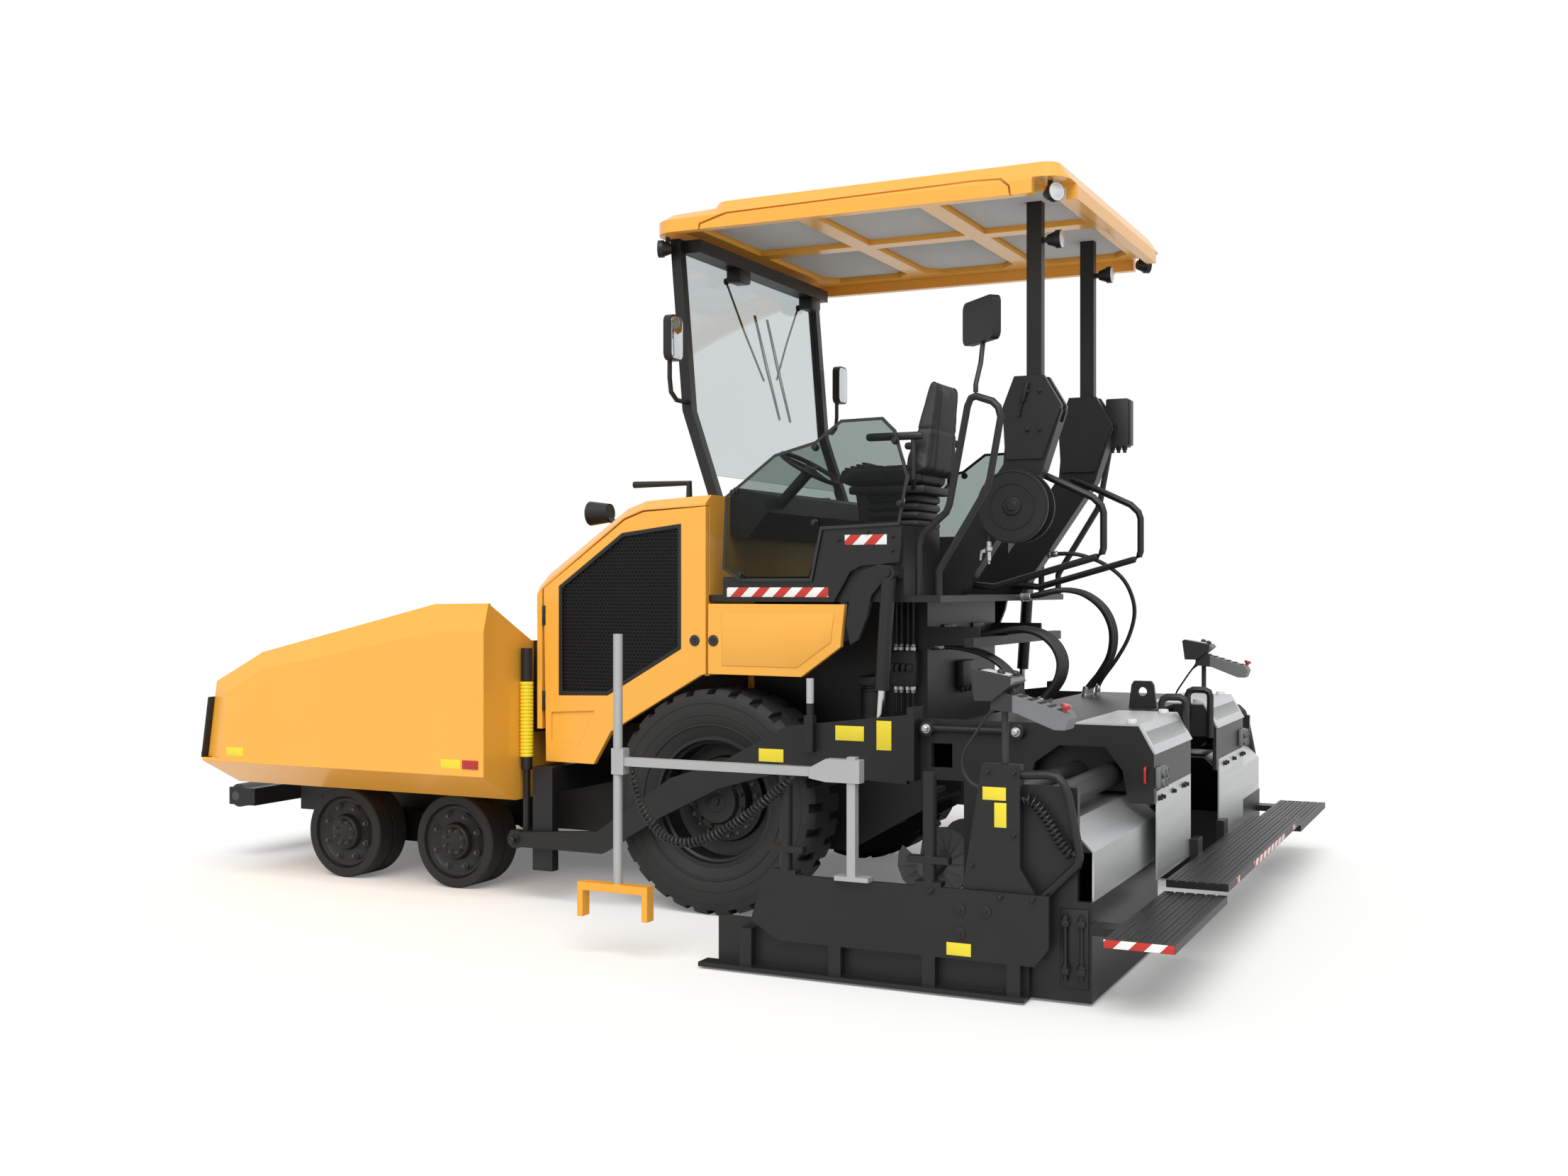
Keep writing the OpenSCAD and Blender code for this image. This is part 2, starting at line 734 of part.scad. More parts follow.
module hood_lamps() {
    lamp_x = hood_rear_x + hood_l * 0.86;
    lamp_y = crown_half * 0.62;
    lamp_z = hood_z + hood_h * 0.9;
    lamp_s = hood_l * 0.1;
    bar_x = hood_rear_x + hood_l * 0.42;
    bar_y = crown_half * 0.86;
    bar_z = hood_z + hood_h * 0.975;
    color(black) difference() {
        both_sides() {
            swept_tube([[lamp_x - lamp_s, lamp_y, hood_z + hood_h * 0.77], [lamp_x - lamp_s, lamp_y, lamp_z],
                [lamp_x, lamp_y, lamp_z + lamp_s / 2]], rail_d);
            translate([lamp_x - lamp_s / 2, lamp_y, lamp_z + lamp_s * 0.6]) rotate([0, 90, 0])
                cylinder(d1 = lamp_s, d2 = lamp_s * 1.3, h = lamp_s * 1.2);
            swept_tube([[bar_x - lamp_s * 2.2, bar_y, bar_z],
                [bar_x - lamp_s * 2.2, bar_y, bar_z + lamp_s], [bar_x + lamp_s, bar_y, bar_z + lamp_s]],
                rail_d);
        }
        hood_form(-seat_gap);
    }
}

// Left engine door with its grille panel set back in the opening
module engine_door() {
    color(paint) difference() {
        union() {
            side_plate(spread(door_shares, hood_rear_x, hood_z, hood_l, hood_h), door_in_y, door_t);
            for (share = door_hinge_shares)
                block([hood_rear_x + hood_l * door_shares[1][0],
                hood_rear_x + hood_l * door_cut_shares[0][0] - seat_gap],
                    [door_in_y, hood_half], [hood_z + hood_h * share, hood_z + hood_h * share + hinge_h]);
        }
        side_plate(spread(grille_shares, hood_rear_x, hood_z, hood_l, hood_h), door_in_y + mesh_t, door_t);
        side_plate(spread(recess_shares, hood_rear_x, hood_z, hood_l, hood_h), hood_half - mesh_t, door_t);
    }
}

module service_panel() {
    color(paint) side_plate(spread(panel_shares, panel_front_x - panel_l, panel_z, panel_l, panel_h),
        door_in_y, door_t);
}

module platform() {
    skirt_in = skirt_half - skirt_t;
    hose_beam_half = skirt_in * 0.73;
    color(black) {
        block([platform_rear_x, hood_rear_x], [-skirt_in, skirt_in], [skirt_z, platform_z]);
        both_sides() block([frame_rear_x, hood_rear_x], [pedestal_half - wall_t, pedestal_half],
            [tunnel_z, skirt_z]);
        block([frame_rear_x, frame_rear_x + wall_t], [-pedestal_half, pedestal_half], [tunnel_z, skirt_z]);
        block([hose_beam_x, hose_beam_x + hose_beam_w], [-hose_beam_half, hose_beam_half],
            [hose_beam_z, hose_beam_z + hose_beam_w]);
        both_sides() block([hose_beam_x + hose_beam_w, frame_rear_x + wall_t],
            [pedestal_half - wall_t, pedestal_half],
            [hose_beam_z, hose_beam_z + 2 * hose_beam_w]);
        both_sides() block(seat_box_x, seat_box_y, [platform_z, platform_z + seat_box_h]);
        both_sides() side_plate(spread(skirt_shares, skirt_front_x - skirt_l, skirt_z, skirt_l, skirt_h),
            skirt_in, skirt_t);
        both_sides() side_plate(spread(bracket_shares, lift_top_x - bracket_l * 0.15,
            lift_top_z - bracket_h * 0.87,
            bracket_l, bracket_h), skirt_in, skirt_t);
        both_sides() block([panel_front_x - panel_l + pass_gap, panel_front_x - panel_l + pass_gap + skirt_t],
            [skirt_in - 2 * skirt_t, door_in_y - seat_gap], [panel_z + panel_h / 2, skirt_z]);
        both_sides() y_bar(lift_top_x, lift_top_z, [skirt_half, lift_y + barrel_d / 2], rod_d / 2);
    }
}

module side_glass() {
    color(glass) both_sides() side_plate(spread(glass_shares, skirt_front_x - glass_l, glass_z, glass_l,
        glass_h),
        skirt_half, glass_t);
}

module dashboard() {
    dash_shares = [[1, 0.1], [1, 0.85], [0.9, 1], [0.15, 0.86], [0, 0.5], [0.55, 0]];
    color(black) side_plate(spread(dash_shares, hood_rear_x - hood_l * 0.21, hood_z + hood_h * 0.82,
        hood_l * 0.21, hood_h * 0.22), -crown_half * 0.8, crown_half * 1.6);
}

// Seat on its bellows, with arm rests
module seat() {
    foot_z = platform_z + seat_box_h;
    back_x = seat_box_x[0] - seat_w * 0.1;
    y = [seat_y - seat_w / 2, seat_y + seat_w / 2];
    fold_h = seat_w * 0.36 / bellows_count;
    color(rubber) {
        for (i = [0:bellows_count - 1]) {
            block([back_x + seat_w * 0.15, back_x + seat_w * 0.75],
                [y[0] + seat_w * 0.15, y[1] - seat_w * 0.15],
                [foot_z + i * fold_h, foot_z + (i + 0.5) * fold_h]);
            block([back_x + seat_w * 0.18, back_x + seat_w * 0.72],
                [y[0] + seat_w * 0.18, y[1] - seat_w * 0.18],
                [foot_z + (i + 0.5) * fold_h, foot_z + (i + 1) * fold_h]);
        }
        block([back_x + seat_w * 0.05, back_x + seat_w * 0.9], [y[0] + seat_w * 0.05, y[1] - seat_w * 0.05],
            [foot_z + seat_w * 0.36, foot_z + seat_w * 0.44]);
        side_plate(spread(cushion_shares, back_x + seat_w * 0.1, foot_z + seat_w * 0.44, seat_w * 0.88,
            seat_w * 0.22),
            y[0], seat_w);
        side_plate(spread(seat_back_shares, back_x - seat_w * 0.08, foot_z + seat_w * 0.5, seat_w * 0.36,
            seat_w * 1.08),
            y[0], seat_w);
        for (arm = [y[0] - seat_w * 0.1, y[1]])
            block([back_x + seat_w * 0.02, back_x + seat_w * 0.65], [arm, arm + seat_w * 0.1],
                [foot_z + seat_w * 0.9, foot_z + seat_w * 0.98]);
    }
}

// Slanted beams with cheek plates that hold the feet of the posts
module canopy_supports() {
    outline = spread(support_shares, post_x - support_lap, platform_z, support_l, support_h);
    cheeks = spread(cheek_shares, post_x - support_lap, platform_z, support_l, support_h);
    color(black) both_sides() difference() {
        union() {
            side_plate(outline, post_y - support_w / 2, support_w);
            side_plate(cheeks, post_y - support_w / 2 - cheek_t, support_w + 2 * cheek_t);
        }
        block([post_x - support_l, post_x + support_l],
            [post_y - post_w / 2 - seat_gap, post_y + post_w / 2 + seat_gap],
            [post_foot_z - seat_gap, platform_z + support_h + overrun]);
    }
}

module canopy_posts() {
    color(black) both_sides() block([post_x - post_l / 2, post_x + post_l / 2],
        [post_y - post_w / 2, post_y + post_w / 2], [post_foot_z, roof_z + bay_depth]);
}

// Roof shell between two ends, each with its own rise
module roof_shell(x, rises) {
    hull() both_sides() for (i = [0, 1])
        translate([x[i] + (i == 0 ? roof_corner : -roof_corner), roof_half - roof_corner, roof_z]) {
            cylinder(r = roof_corner, h = roof_h * roof_rim_share);
            cylinder(r = roof_corner * roof_crown_share, h = roof_h * rises[i]);
        }
}

// Bay in the roof's underside with its outer corners cut
module roof_bay(i) {
    translate([roof_rear_x + roof_rim + bay_gap + i * (bay_l + bay_gap), bay_gap / 2, roof_z])
        linear_extrude(bay_depth)
        polygon([[0, 0], [bay_l, 0], [bay_l, bay_w - bay_cut], [bay_l - bay_cut, bay_w], [bay_cut, bay_w],
            [0, bay_w - bay_cut]]);
}

module canopy_roof() {
    color(paint) difference() {
        union() {
            roof_shell([roof_rear_x, roof_front_x - visor_l], [1, roof_front_share]);
            roof_shell([roof_front_x - 2 * visor_l, roof_front_x], visor_shares);
        }
        block([roof_rear_x + roof_rim, roof_front_x - roof_rim], [roof_rim - roof_half, roof_half - roof_rim],
            [roof_z - overrun, roof_z + roof_recess]);
        for (i = [0:2])
            both_sides() roof_bay(i);
        both_sides() difference() {
            side_plate(spread(groove_shares, roof_rear_x, roof_z, roof_l, roof_h), roof_half - groove_depth,
                groove_depth + overrun);
            side_plate(spread(groove_in_shares, roof_rear_x, roof_z, roof_l, roof_h),
                roof_half - 2 * groove_depth,
                3 * groove_depth);
        }
        both_sides() block([roof_rear_x - overrun, roof_rear_x + pocket_l],
            [roof_half - pocket_w, roof_half + overrun], [roof_z - overrun, roof_z + pocket_h]);
    }
}

// Lamp pod with its lens towards +X
module lamp_pod() {
    rotate([0, 90, 0]) {
        translate([0, 0, -lamp_l * 0.6]) cylinder(d1 = lamp_d * 0.55, d2 = lamp_d * 0.9, h = lamp_l * 0.6);
        cylinder(d = lamp_d, h = lamp_l * 0.4);
    }
}

// Lamps at the roof's four corners and on the rear posts
module work_lamps() {
    corner = roof_half - pocket_w / 2;
    post_lamp_x = post_x - post_l / 2 - seat_gap - lamp_stem - lamp_l * 0.6;
    color(black) both_sides() {
        translate([roof_rear_x + pocket_l * 0.55, corner, roof_z + pocket_h * 0.2])
            rotate([0, 0, rear_lamp_turn]) {
            lamp_pod();
            translate([-lamp_stem * 0.8, 0, 0]) cylinder(d = lamp_stem, h = pocket_h * 0.8 - seat_gap);
        }
        translate([roof_front_x - roof_rim * 0.5, corner, roof_z - lamp_d * 0.65])
            rotate([0, 0, front_lamp_turn]) {
            lamp_pod();
            translate([-lamp_stem * 0.8, 0, 0]) cylinder(d = lamp_stem, h = lamp_d * 0.65 - seat_gap);
        }
        translate([post_lamp_x, post_y, roof_z - lamp_d * 1.2]) rotate([0, 0, 180]) lamp_pod();
        block([post_lamp_x, post_x - post_l / 2 - seat_gap], [post_y - lamp_stem / 2, post_y + lamp_stem / 2],
            [roof_z - lamp_d * 1.2 - lamp_stem / 2, roof_z - lamp_d * 1.2 + lamp_stem / 2]);
    }
}

// Mirror head with round corners, its glass towards +X
module mirror_head(w, h) {
    hull() for (y = [mirror_r - w / 2, w / 2 - mirror_r])
        for (z = [mirror_r - h / 2, h / 2 - mirror_r])
            translate([0, y, z]) rotate([0, 90, 0]) cylinder(r = mirror_r, h = mirror_t);
}

// Mirrors on arms from the windshield frame, and one on the left hand rail for the view back
module mirrors() {
    arm_x = shield_kink[0] - shield_t / 2;
    foot_y = shield_half + seat_gap;
    hand_y = skirt_half - skirt_t - rail_d;
    stem = [hand_x - hand_l * 0.7, hand_y, platform_z + hand_h + rail_d / 2 + seat_gap];
    color(black) {
        both_sides() {
            swept_tube([[arm_x, foot_y, mirror_foot_z], [arm_x, mirror_y - rail_d * 2, mirror_foot_z],
                [arm_x, mirror_y - rail_d * 0.4, mirror_foot_z + rail_d],
                [arm_x, mirror_y, mirror_foot_z + rail_d * 3],
                [arm_x, mirror_y, mirror_z]], rail_d * 0.7, [1, 0, 0]);
            translate([arm_x - mirror_t, mirror_y, mirror_z]) mirror_head(mirror_w, mirror_h);
        }
        swept_tube([stem, stem + [0, 0, rail_d], stem + [0, -2 * rail_d, 4 * rail_d],
            stem + [0, -4 * rail_d, mirror_z - stem[2]]], rail_d * 0.7, [1, 0, 0]);
        translate(stem + [0, -4 * rail_d, mirror_z - stem[2]]) rotate([0, 0, rear_mirror_turn])
            mirror_head(rear_mirror_w, rear_mirror_h);
    }
}

// Outline of the windshield, from its foot on the hood to the roof
function shield_outline(depth, low) = let (
    lift = shield_kink + (shield_foot - shield_kink) * (1 - low)
) [lift, shield_kink, shield_top, shield_top - [depth, 0], shield_kink - [depth, 0], lift - [depth, 0]];

module windshield_frame() {
    opening_half = shield_half - shield_t;
    color(black) {
        block([shield_top_x - 2.6 * shield_t, shield_top_x - shield_t], [-opening_half, opening_half],
            [roof_z - shield_t * 1.2, roof_z]);
        difference() {
            side_plate(shield_outline(shield_t, 0), -shield_half, 2 * shield_half);
            side_plate([[0, 0], [hood_l, 0], [hood_l, roof_z - shield_t], [0, roof_z - shield_t]],
                -opening_half,
                2 * opening_half);
            hood_form(-seat_gap);
        }
    }
}

module windshield_glass() {
    half = shield_half - shield_t;
    color(glass) difference() {
        translate([-shield_t * 0.4, 0, 0]) side_plate(shield_outline(glass_t, 0.28), -half, 2 * half);
        block([0, hood_l], [-shield_half, shield_half], [roof_z - shield_t, roof_z + roof_h]);
    }
}

module guard_rails() {
    loop_y = post_y - support_w / 2 - seat_gap;
    hand_y = skirt_half - skirt_t - rail_d;
    color(black) both_sides() {
        swept_tube([for (p = guard_shares) [guard_x - p[0] * guard_l, loop_y - p[1] * guard_w,
            guard_z + p[2] * guard_h]],
            rail_d, [1, 0, -1]);
        swept_tube([for (p = hand_shares) [hand_x - p[0] * hand_l, hand_y, platform_z + p[1] * hand_h]],
            rail_d);
    }
}

module hose_reel() {
    y = post_y + support_w / 2;
    color(black) {
        y_bar(reel_x, reel_z, [y, y + reel_w], reel_d * 0.32);
        y_bar(reel_x, reel_z, [y + reel_t, y + 2 * reel_t], reel_d / 2);
        y_bar(reel_x, reel_z, [y + reel_w - reel_t, y + reel_w], reel_d / 2);
    }
}

module tow_guides() {
    guide_y = arm_y - pass_gap - guide_w;
    color(black) both_sides() {
        block(guide_x, [guide_y, guide_y + guide_w], guide_z);
        block(guide_x, [frame_half, guide_y], [guide_z[1] - guide_foot_h, guide_z[1]]);
        block([guide_x[0], tow_x + guide_foot_h / 2], [guide_y, guide_y + guide_w],
            [tow_z - rod_d, tow_z + rod_d]);
        y_bar(tow_x, tow_z, [guide_y, arm_y + arm_t], rod_d / 2 - seat_gap);
        translate([level_x, guide_y + guide_w / 2, tow_z]) cylinder(d = rod_d, h = level_l);
        translate([level_x, guide_y + guide_w / 2, tow_z + level_l * level_rod_share])
            cylinder(d = level_d, h = level_l * (1 - level_rod_share));
    }
}

module bogie_beams() {
    half = knuckle_h / 2 + lug_gap;
    color(black) both_sides() difference() {
        union() {
            block([bogie_rear_x - beam_w / 2, bogie_front_x + beam_w / 2], [beam_in_y, beam_out_y],
                [bogie_r - half - lug_t, bogie_r + half + lug_t]);
            y_bar(bogie_mid_x, bogie_r, [frame_half, beam_in_y], boss_r);
            block([bogie_mid_x - boss_r, bogie_mid_x + boss_r], [frame_half, beam_in_y],
                [bogie_r, bogie_r + saddle_h]);
            for (x = [bogie_rear_x, bogie_front_x])
                for (z = [bogie_r - half - lug_t, bogie_r + half])
                    block([x - beam_w / 2, x + beam_w / 2],
                    [beam_out_y - lug_lap, kingpin_y + kingpin_r + lug_end],
                        [z, z + lug_t]);
        }
        for (x = [bogie_rear_x, bogie_front_x]) {
            translate([x, kingpin_y, bogie_r - knuckle_h])
                cylinder(r = kingpin_r + seat_gap, h = 2 * knuckle_h);
            block([x - knuckle_w / 2 - pass_gap, x + knuckle_w / 2 + pass_gap],
                [beam_out_y - pass_gap, kingpin_y],
                [bogie_r - half, bogie_r + half]);
        }
    }
}

// Left steering knuckle at a wheel's place
module knuckle(x) {
    color(black) {
        translate([x, kingpin_y, bogie_r - knuckle_h / 2 - lug_t])
            cylinder(r = kingpin_r, h = knuckle_h + 2 * lug_t);
        block([x - knuckle_w / 2, x + knuckle_w / 2], [kingpin_y - knuckle_w / 3, bogie_inner_y - pass_gap],
            [bogie_r - knuckle_h / 2, bogie_r + knuckle_h / 2]);
        y_bar(x, bogie_r, [bogie_inner_y - pass_gap, bogie_y + bogie_w * 0.2], stub_r);
    }
}

// Left bogie wheel: two solid rubber bands on a dished steel wheel
module bogie_wheel(x) {
    half = bogie_w / 2;
    dish = half * 0.25;
    groove = bogie_w * 0.03;
    rim = bogie_r * 0.8;
    color(rubber) translate([x, bogie_y, bogie_r]) rotate([-90, 0, 0]) rotate_extrude()
        polygon([[stub_r + seat_gap, -half], [rim * 0.5, -half], [rim * 0.6, -half * 0.7], [rim, -half * 0.7],
            [rim, -half], [bogie_r - groove, -half], [bogie_r, -half + groove], [bogie_r, -groove],
            [bogie_r - bogie_w * 0.1, -groove], [bogie_r - bogie_w * 0.1, groove], [bogie_r, groove],
            [bogie_r, half - groove], [bogie_r - groove, half], [rim, half], [rim * 0.97, half - dish],
            [rim * 0.5, half - dish], [rim * 0.45, half], [0, half], [0, half - dish],
            [stub_r + seat_gap, half - dish]]);
}

module drive_tyre() {
    color(rubber) translate([0, drive_y, drive_r]) rotate([-90, 0, 0]) difference() {
        rotate_extrude() polygon(concat(
            [for (p = tread_shares) [rim_r + seat_gap + p[0] * (drive_r - rim_r - seat_gap), -p[1] * drive_w]],
            [for (i = [len(tread_shares) - 1:-1:0]) [rim_r + seat_gap
                + tread_shares[i][0] * (drive_r - rim_r - seat_gap), tread_shares[i][1] * drive_w]]));
        for (i = [0:lug_count - 1])
            for (s = [0, 1])
                rotate([0, 0, (i + s / 2) * 360 / lug_count])
                    translate([drive_r - lug_depth, -drive_d * 0.02, s == 0 ? drive_w * 0.1 : -drive_w * 0.6])
                        cube([lug_depth + overrun, drive_d * 0.04, drive_w * 0.5]);
    }
}

module drive_rim() {
    half = drive_w * 0.4;
    barrel = rim_r * 0.06;
    color(black) translate([0, drive_y, drive_r]) rotate([-90, 0, 0]) rotate_extrude()
        polygon([[0, seat_gap - hub_gap_y], [hub_r, seat_gap - hub_gap_y], [hub_r, -half * 0.5],
            [rim_r - 2 * barrel, -half * 0.55], [rim_r - 2 * barrel, -half], [rim_r, -half], [rim_r, half],
            [rim_r - barrel, half], [rim_r - barrel * 1.3, half * 0.8], [rim_r - 2 * barrel, half * 0.75],
            [rim_r - 2 * barrel, -half * 0.1], [rim_r * 0.78, -half * 0.2], [hub_r * 1.45, -half * 0.2],
            [hub_r * 1.4, half * 0.05], [hub_r * 1.05, half * 0.1], [hub_r, half * 0.55],
            [hub_r * 0.8, half * 0.62],
            [hub_r * 0.72, half * 0.78], [0, half * 0.78]]);
}

// Left hopper wing: floor, side with a rim that leans in from a crease, and rear wall
module hopper_wing() {
    hinge_y = frame_half + seat_gap + wing_hinge_d / 2;
    side_h = wing_h + wing_floor_z - wing_slant_z;
    crease = spread(wing_crease_shares, wing_rear_x, wing_slant_z, wing_l, side_h);
    rim = spread(wing_rim_shares, wing_rear_x, wing_slant_z, wing_l, side_h);
    out = wing_half - wing_lean;
    color(paint) {
        side_plate(concat(crease, [[wing_rear_x, wing_slant_z]]), wing_half - wing_t, wing_t);
        skin([for (i = [0:len(rim) - 1]) [[crease[i][0], wing_half, crease[i][1]], [rim[i][0], out, rim[i][1]],
            [rim[i][0], out - wing_t, rim[i][1]], [crease[i][0], wing_half - wing_t, crease[i][1]]]]);
        cross_plate([[wing_fold_y, wing_floor_z], [wing_fold_y, wing_floor_z - wing_t],
            [wing_half, wing_slant_z - wing_t], [wing_half, wing_slant_z], [wing_half - wing_t, wing_slant_z]],
            wing_rear_x, wing_l);
        cross_plate([[hinge_y, wing_hinge_z + wing_t / 2], [hinge_y, wing_hinge_z - wing_t / 2],
            [wing_fold_y, wing_floor_z - wing_t], [wing_fold_y, wing_floor_z]], wing_rear_x, wing_l);
        translate([wing_rear_x, hinge_y, wing_hinge_z]) rotate([0, 90, 0])
            cylinder(d = wing_hinge_d, h = wing_l);
        cross_plate([[hinge_y, wing_hinge_z], [wing_fold_y, wing_floor_z - wing_t / 2],
            [wing_half, wing_slant_z],
            [wing_half, crease[0][1]], [out, rim[0][1]], [crown_half, bulkhead_z],
            [wing_half * wing_back_share, bulkhead_z]], wing_rear_x, wing_t);
    }
}

module push_beam() {
    pivot_x = frame_front_x + nose_l;
    beam_x = [pivot_x + nose_r + pass_gap, pivot_x + nose_r + pass_gap + push_w];
    color(black) {
        block(beam_x, [-push_half, push_half], [roller_z - push_h / 2, roller_z + push_h / 2]);
        for (z = [roller_z - nose_h / 2 - seat_gap - clevis_t, roller_z + nose_h / 2 + seat_gap]) {
            block([pivot_x, beam_x[0] + push_w / 2], [-nose_r, nose_r], [z, z + clevis_t]);
            translate([pivot_x, 0, z]) cylinder(r = nose_r, h = clevis_t);
        }
        translate([pivot_x, 0, roller_z - nose_h / 2 - clevis_t])
            cylinder(r = pivot_r, h = nose_h + 2 * clevis_t);
        for (y = [-push_half, -ear_t / 2, push_half - ear_t])
            difference() {
                block([beam_x[1], roller_x + roller_d * 0.35], [y, y + ear_t],
                    [roller_z - push_h / 2, roller_z + push_h / 2]);
                y_bar(roller_x, roller_z, [y - overrun, y + ear_t + overrun], roller_d * 0.2 + seat_gap);
            }
    }
}

module push_rollers() {
    color(grey) {
        y_bar(roller_x, roller_z, [-push_half, push_half], roller_d * 0.2);
        both_sides() y_bar(roller_x, roller_z, [ear_t / 2 + pass_gap, push_half - ear_t - pass_gap],
            roller_d / 2);
    }
}

module auger_case() {
    color(black) {
        block([auger_x - auger_d * 0.2, auger_x + auger_d * 0.2], [-case_w / 2, case_w / 2],
            [auger_z - auger_d * 0.25, deck_z - frame_t]);
        block([auger_x - auger_d * 0.2, frame_rear_x + frame_t * 2], [-case_w / 2, case_w / 2],
            [deck_z - 3 * frame_t, deck_z - frame_t]);
    }
}

// Left auger: a shaft with a helical flight
module auger() {
    start = case_w / 2 + seat_gap;
    turns = auger_l / auger_pitch;
    shaft_r = auger_d * 0.13;
    weld_r = shaft_r + 2 * seat_gap;
    spread_a = 360 * flight_t / auger_pitch;
    color(grey) {
        y_bar(auger_x, auger_z, [start, start + auger_l], shaft_r);
        translate([auger_x, start + auger_l * 0.02, auger_z]) rotate([-90, 0, 0])
            linear_extrude(auger_l * 0.95, twist = 360 * turns * 0.95, slices = flight_steps, segments = 0)
                polygon([for (q = [[weld_r, 0], [auger_d / 2, 0], [auger_d / 2, spread_a], [weld_r, spread_a]])
                    q[0] * [cos(q[1]), sin(q[1])]]);
    }
}

// Turns its children about a pin along Y so that +Z points from the lower to the upper lift pin
module along_lift() {
    lean = atan2(lift_top_x - lift_low_x, lift_top_z - lift_low_z);
    translate([lift_top_x, lift_y, lift_top_z]) rotate([0, lean, 0]) children();
}

module lift_barrels() {
    color(black) both_sides() along_lift() difference() {
        union() {
            translate([0, 0, -barrel_l]) cylinder(d = barrel_d, h = barrel_l - rod_d * 0.6);
            translate([0, barrel_d * 0.4, 0]) rotate([90, 0, 0]) cylinder(d = rod_d * 2, h = barrel_d * 0.8);
        }
        translate([0, barrel_d, 0]) rotate([90, 0, 0]) cylinder(r = rod_d / 2 + seat_gap, h = 2 * barrel_d);
        translate([0, 0, -barrel_l - overrun]) cylinder(r = rod_d / 2 + seat_gap,
            h = barrel_l * 0.86 + overrun);
    }
}

module lift_rods() {
    color(silver) both_sides() along_lift() difference() {
        union() {
            translate([0, 0, -lift_l]) cylinder(d = rod_d, h = lift_l - barrel_l * 0.6);
            translate([0, barrel_d * 0.35, -lift_l]) rotate([90, 0, 0])
                cylinder(d = rod_d * 2.1, h = barrel_d * 0.7);
        }
        translate([0, barrel_d, -lift_l]) rotate([90, 0, 0]) cylinder(d = rod_d * 1.3, h = 2 * barrel_d);
    }
}

module tow_arms() {
    outline = spread(arm_shares, arm_rear_x, tow_z - arm_eye_r * 0.8, arm_l, arm_h);
    grade_x = arm_rear_x + arm_l * grade_share;
    grade_z = lift_low_z + rod_d;
    color(black) both_sides() {
        difference() {
            union() {
                side_plate(outline, arm_y, arm_t);
                y_bar(tow_x, tow_z, [arm_y, arm_y + arm_t], arm_eye_r);
            }
            y_bar(tow_x, tow_z, [arm_y - overrun, arm_y + arm_t + overrun], rod_d / 2);
        }
        block([arm_rear_x - flange_w, arm_rear_x], [screed_half - flange_w, arm_y + arm_t], flange_z);
        block([grade_x - grade_clamp / 2, grade_x + grade_clamp / 2],
            [arm_y + arm_t, arm_y + arm_t + grade_clamp],
            [grade_z, grade_z + grade_h / 2]);
        translate([grade_x, arm_y + arm_t + grade_clamp / 2, grade_z]) cylinder(d = grade_d, h = grade_h);
        y_bar(lift_low_x, lift_low_z, [lift_y - barrel_d / 2, arm_y], rod_d / 4);
    }
}

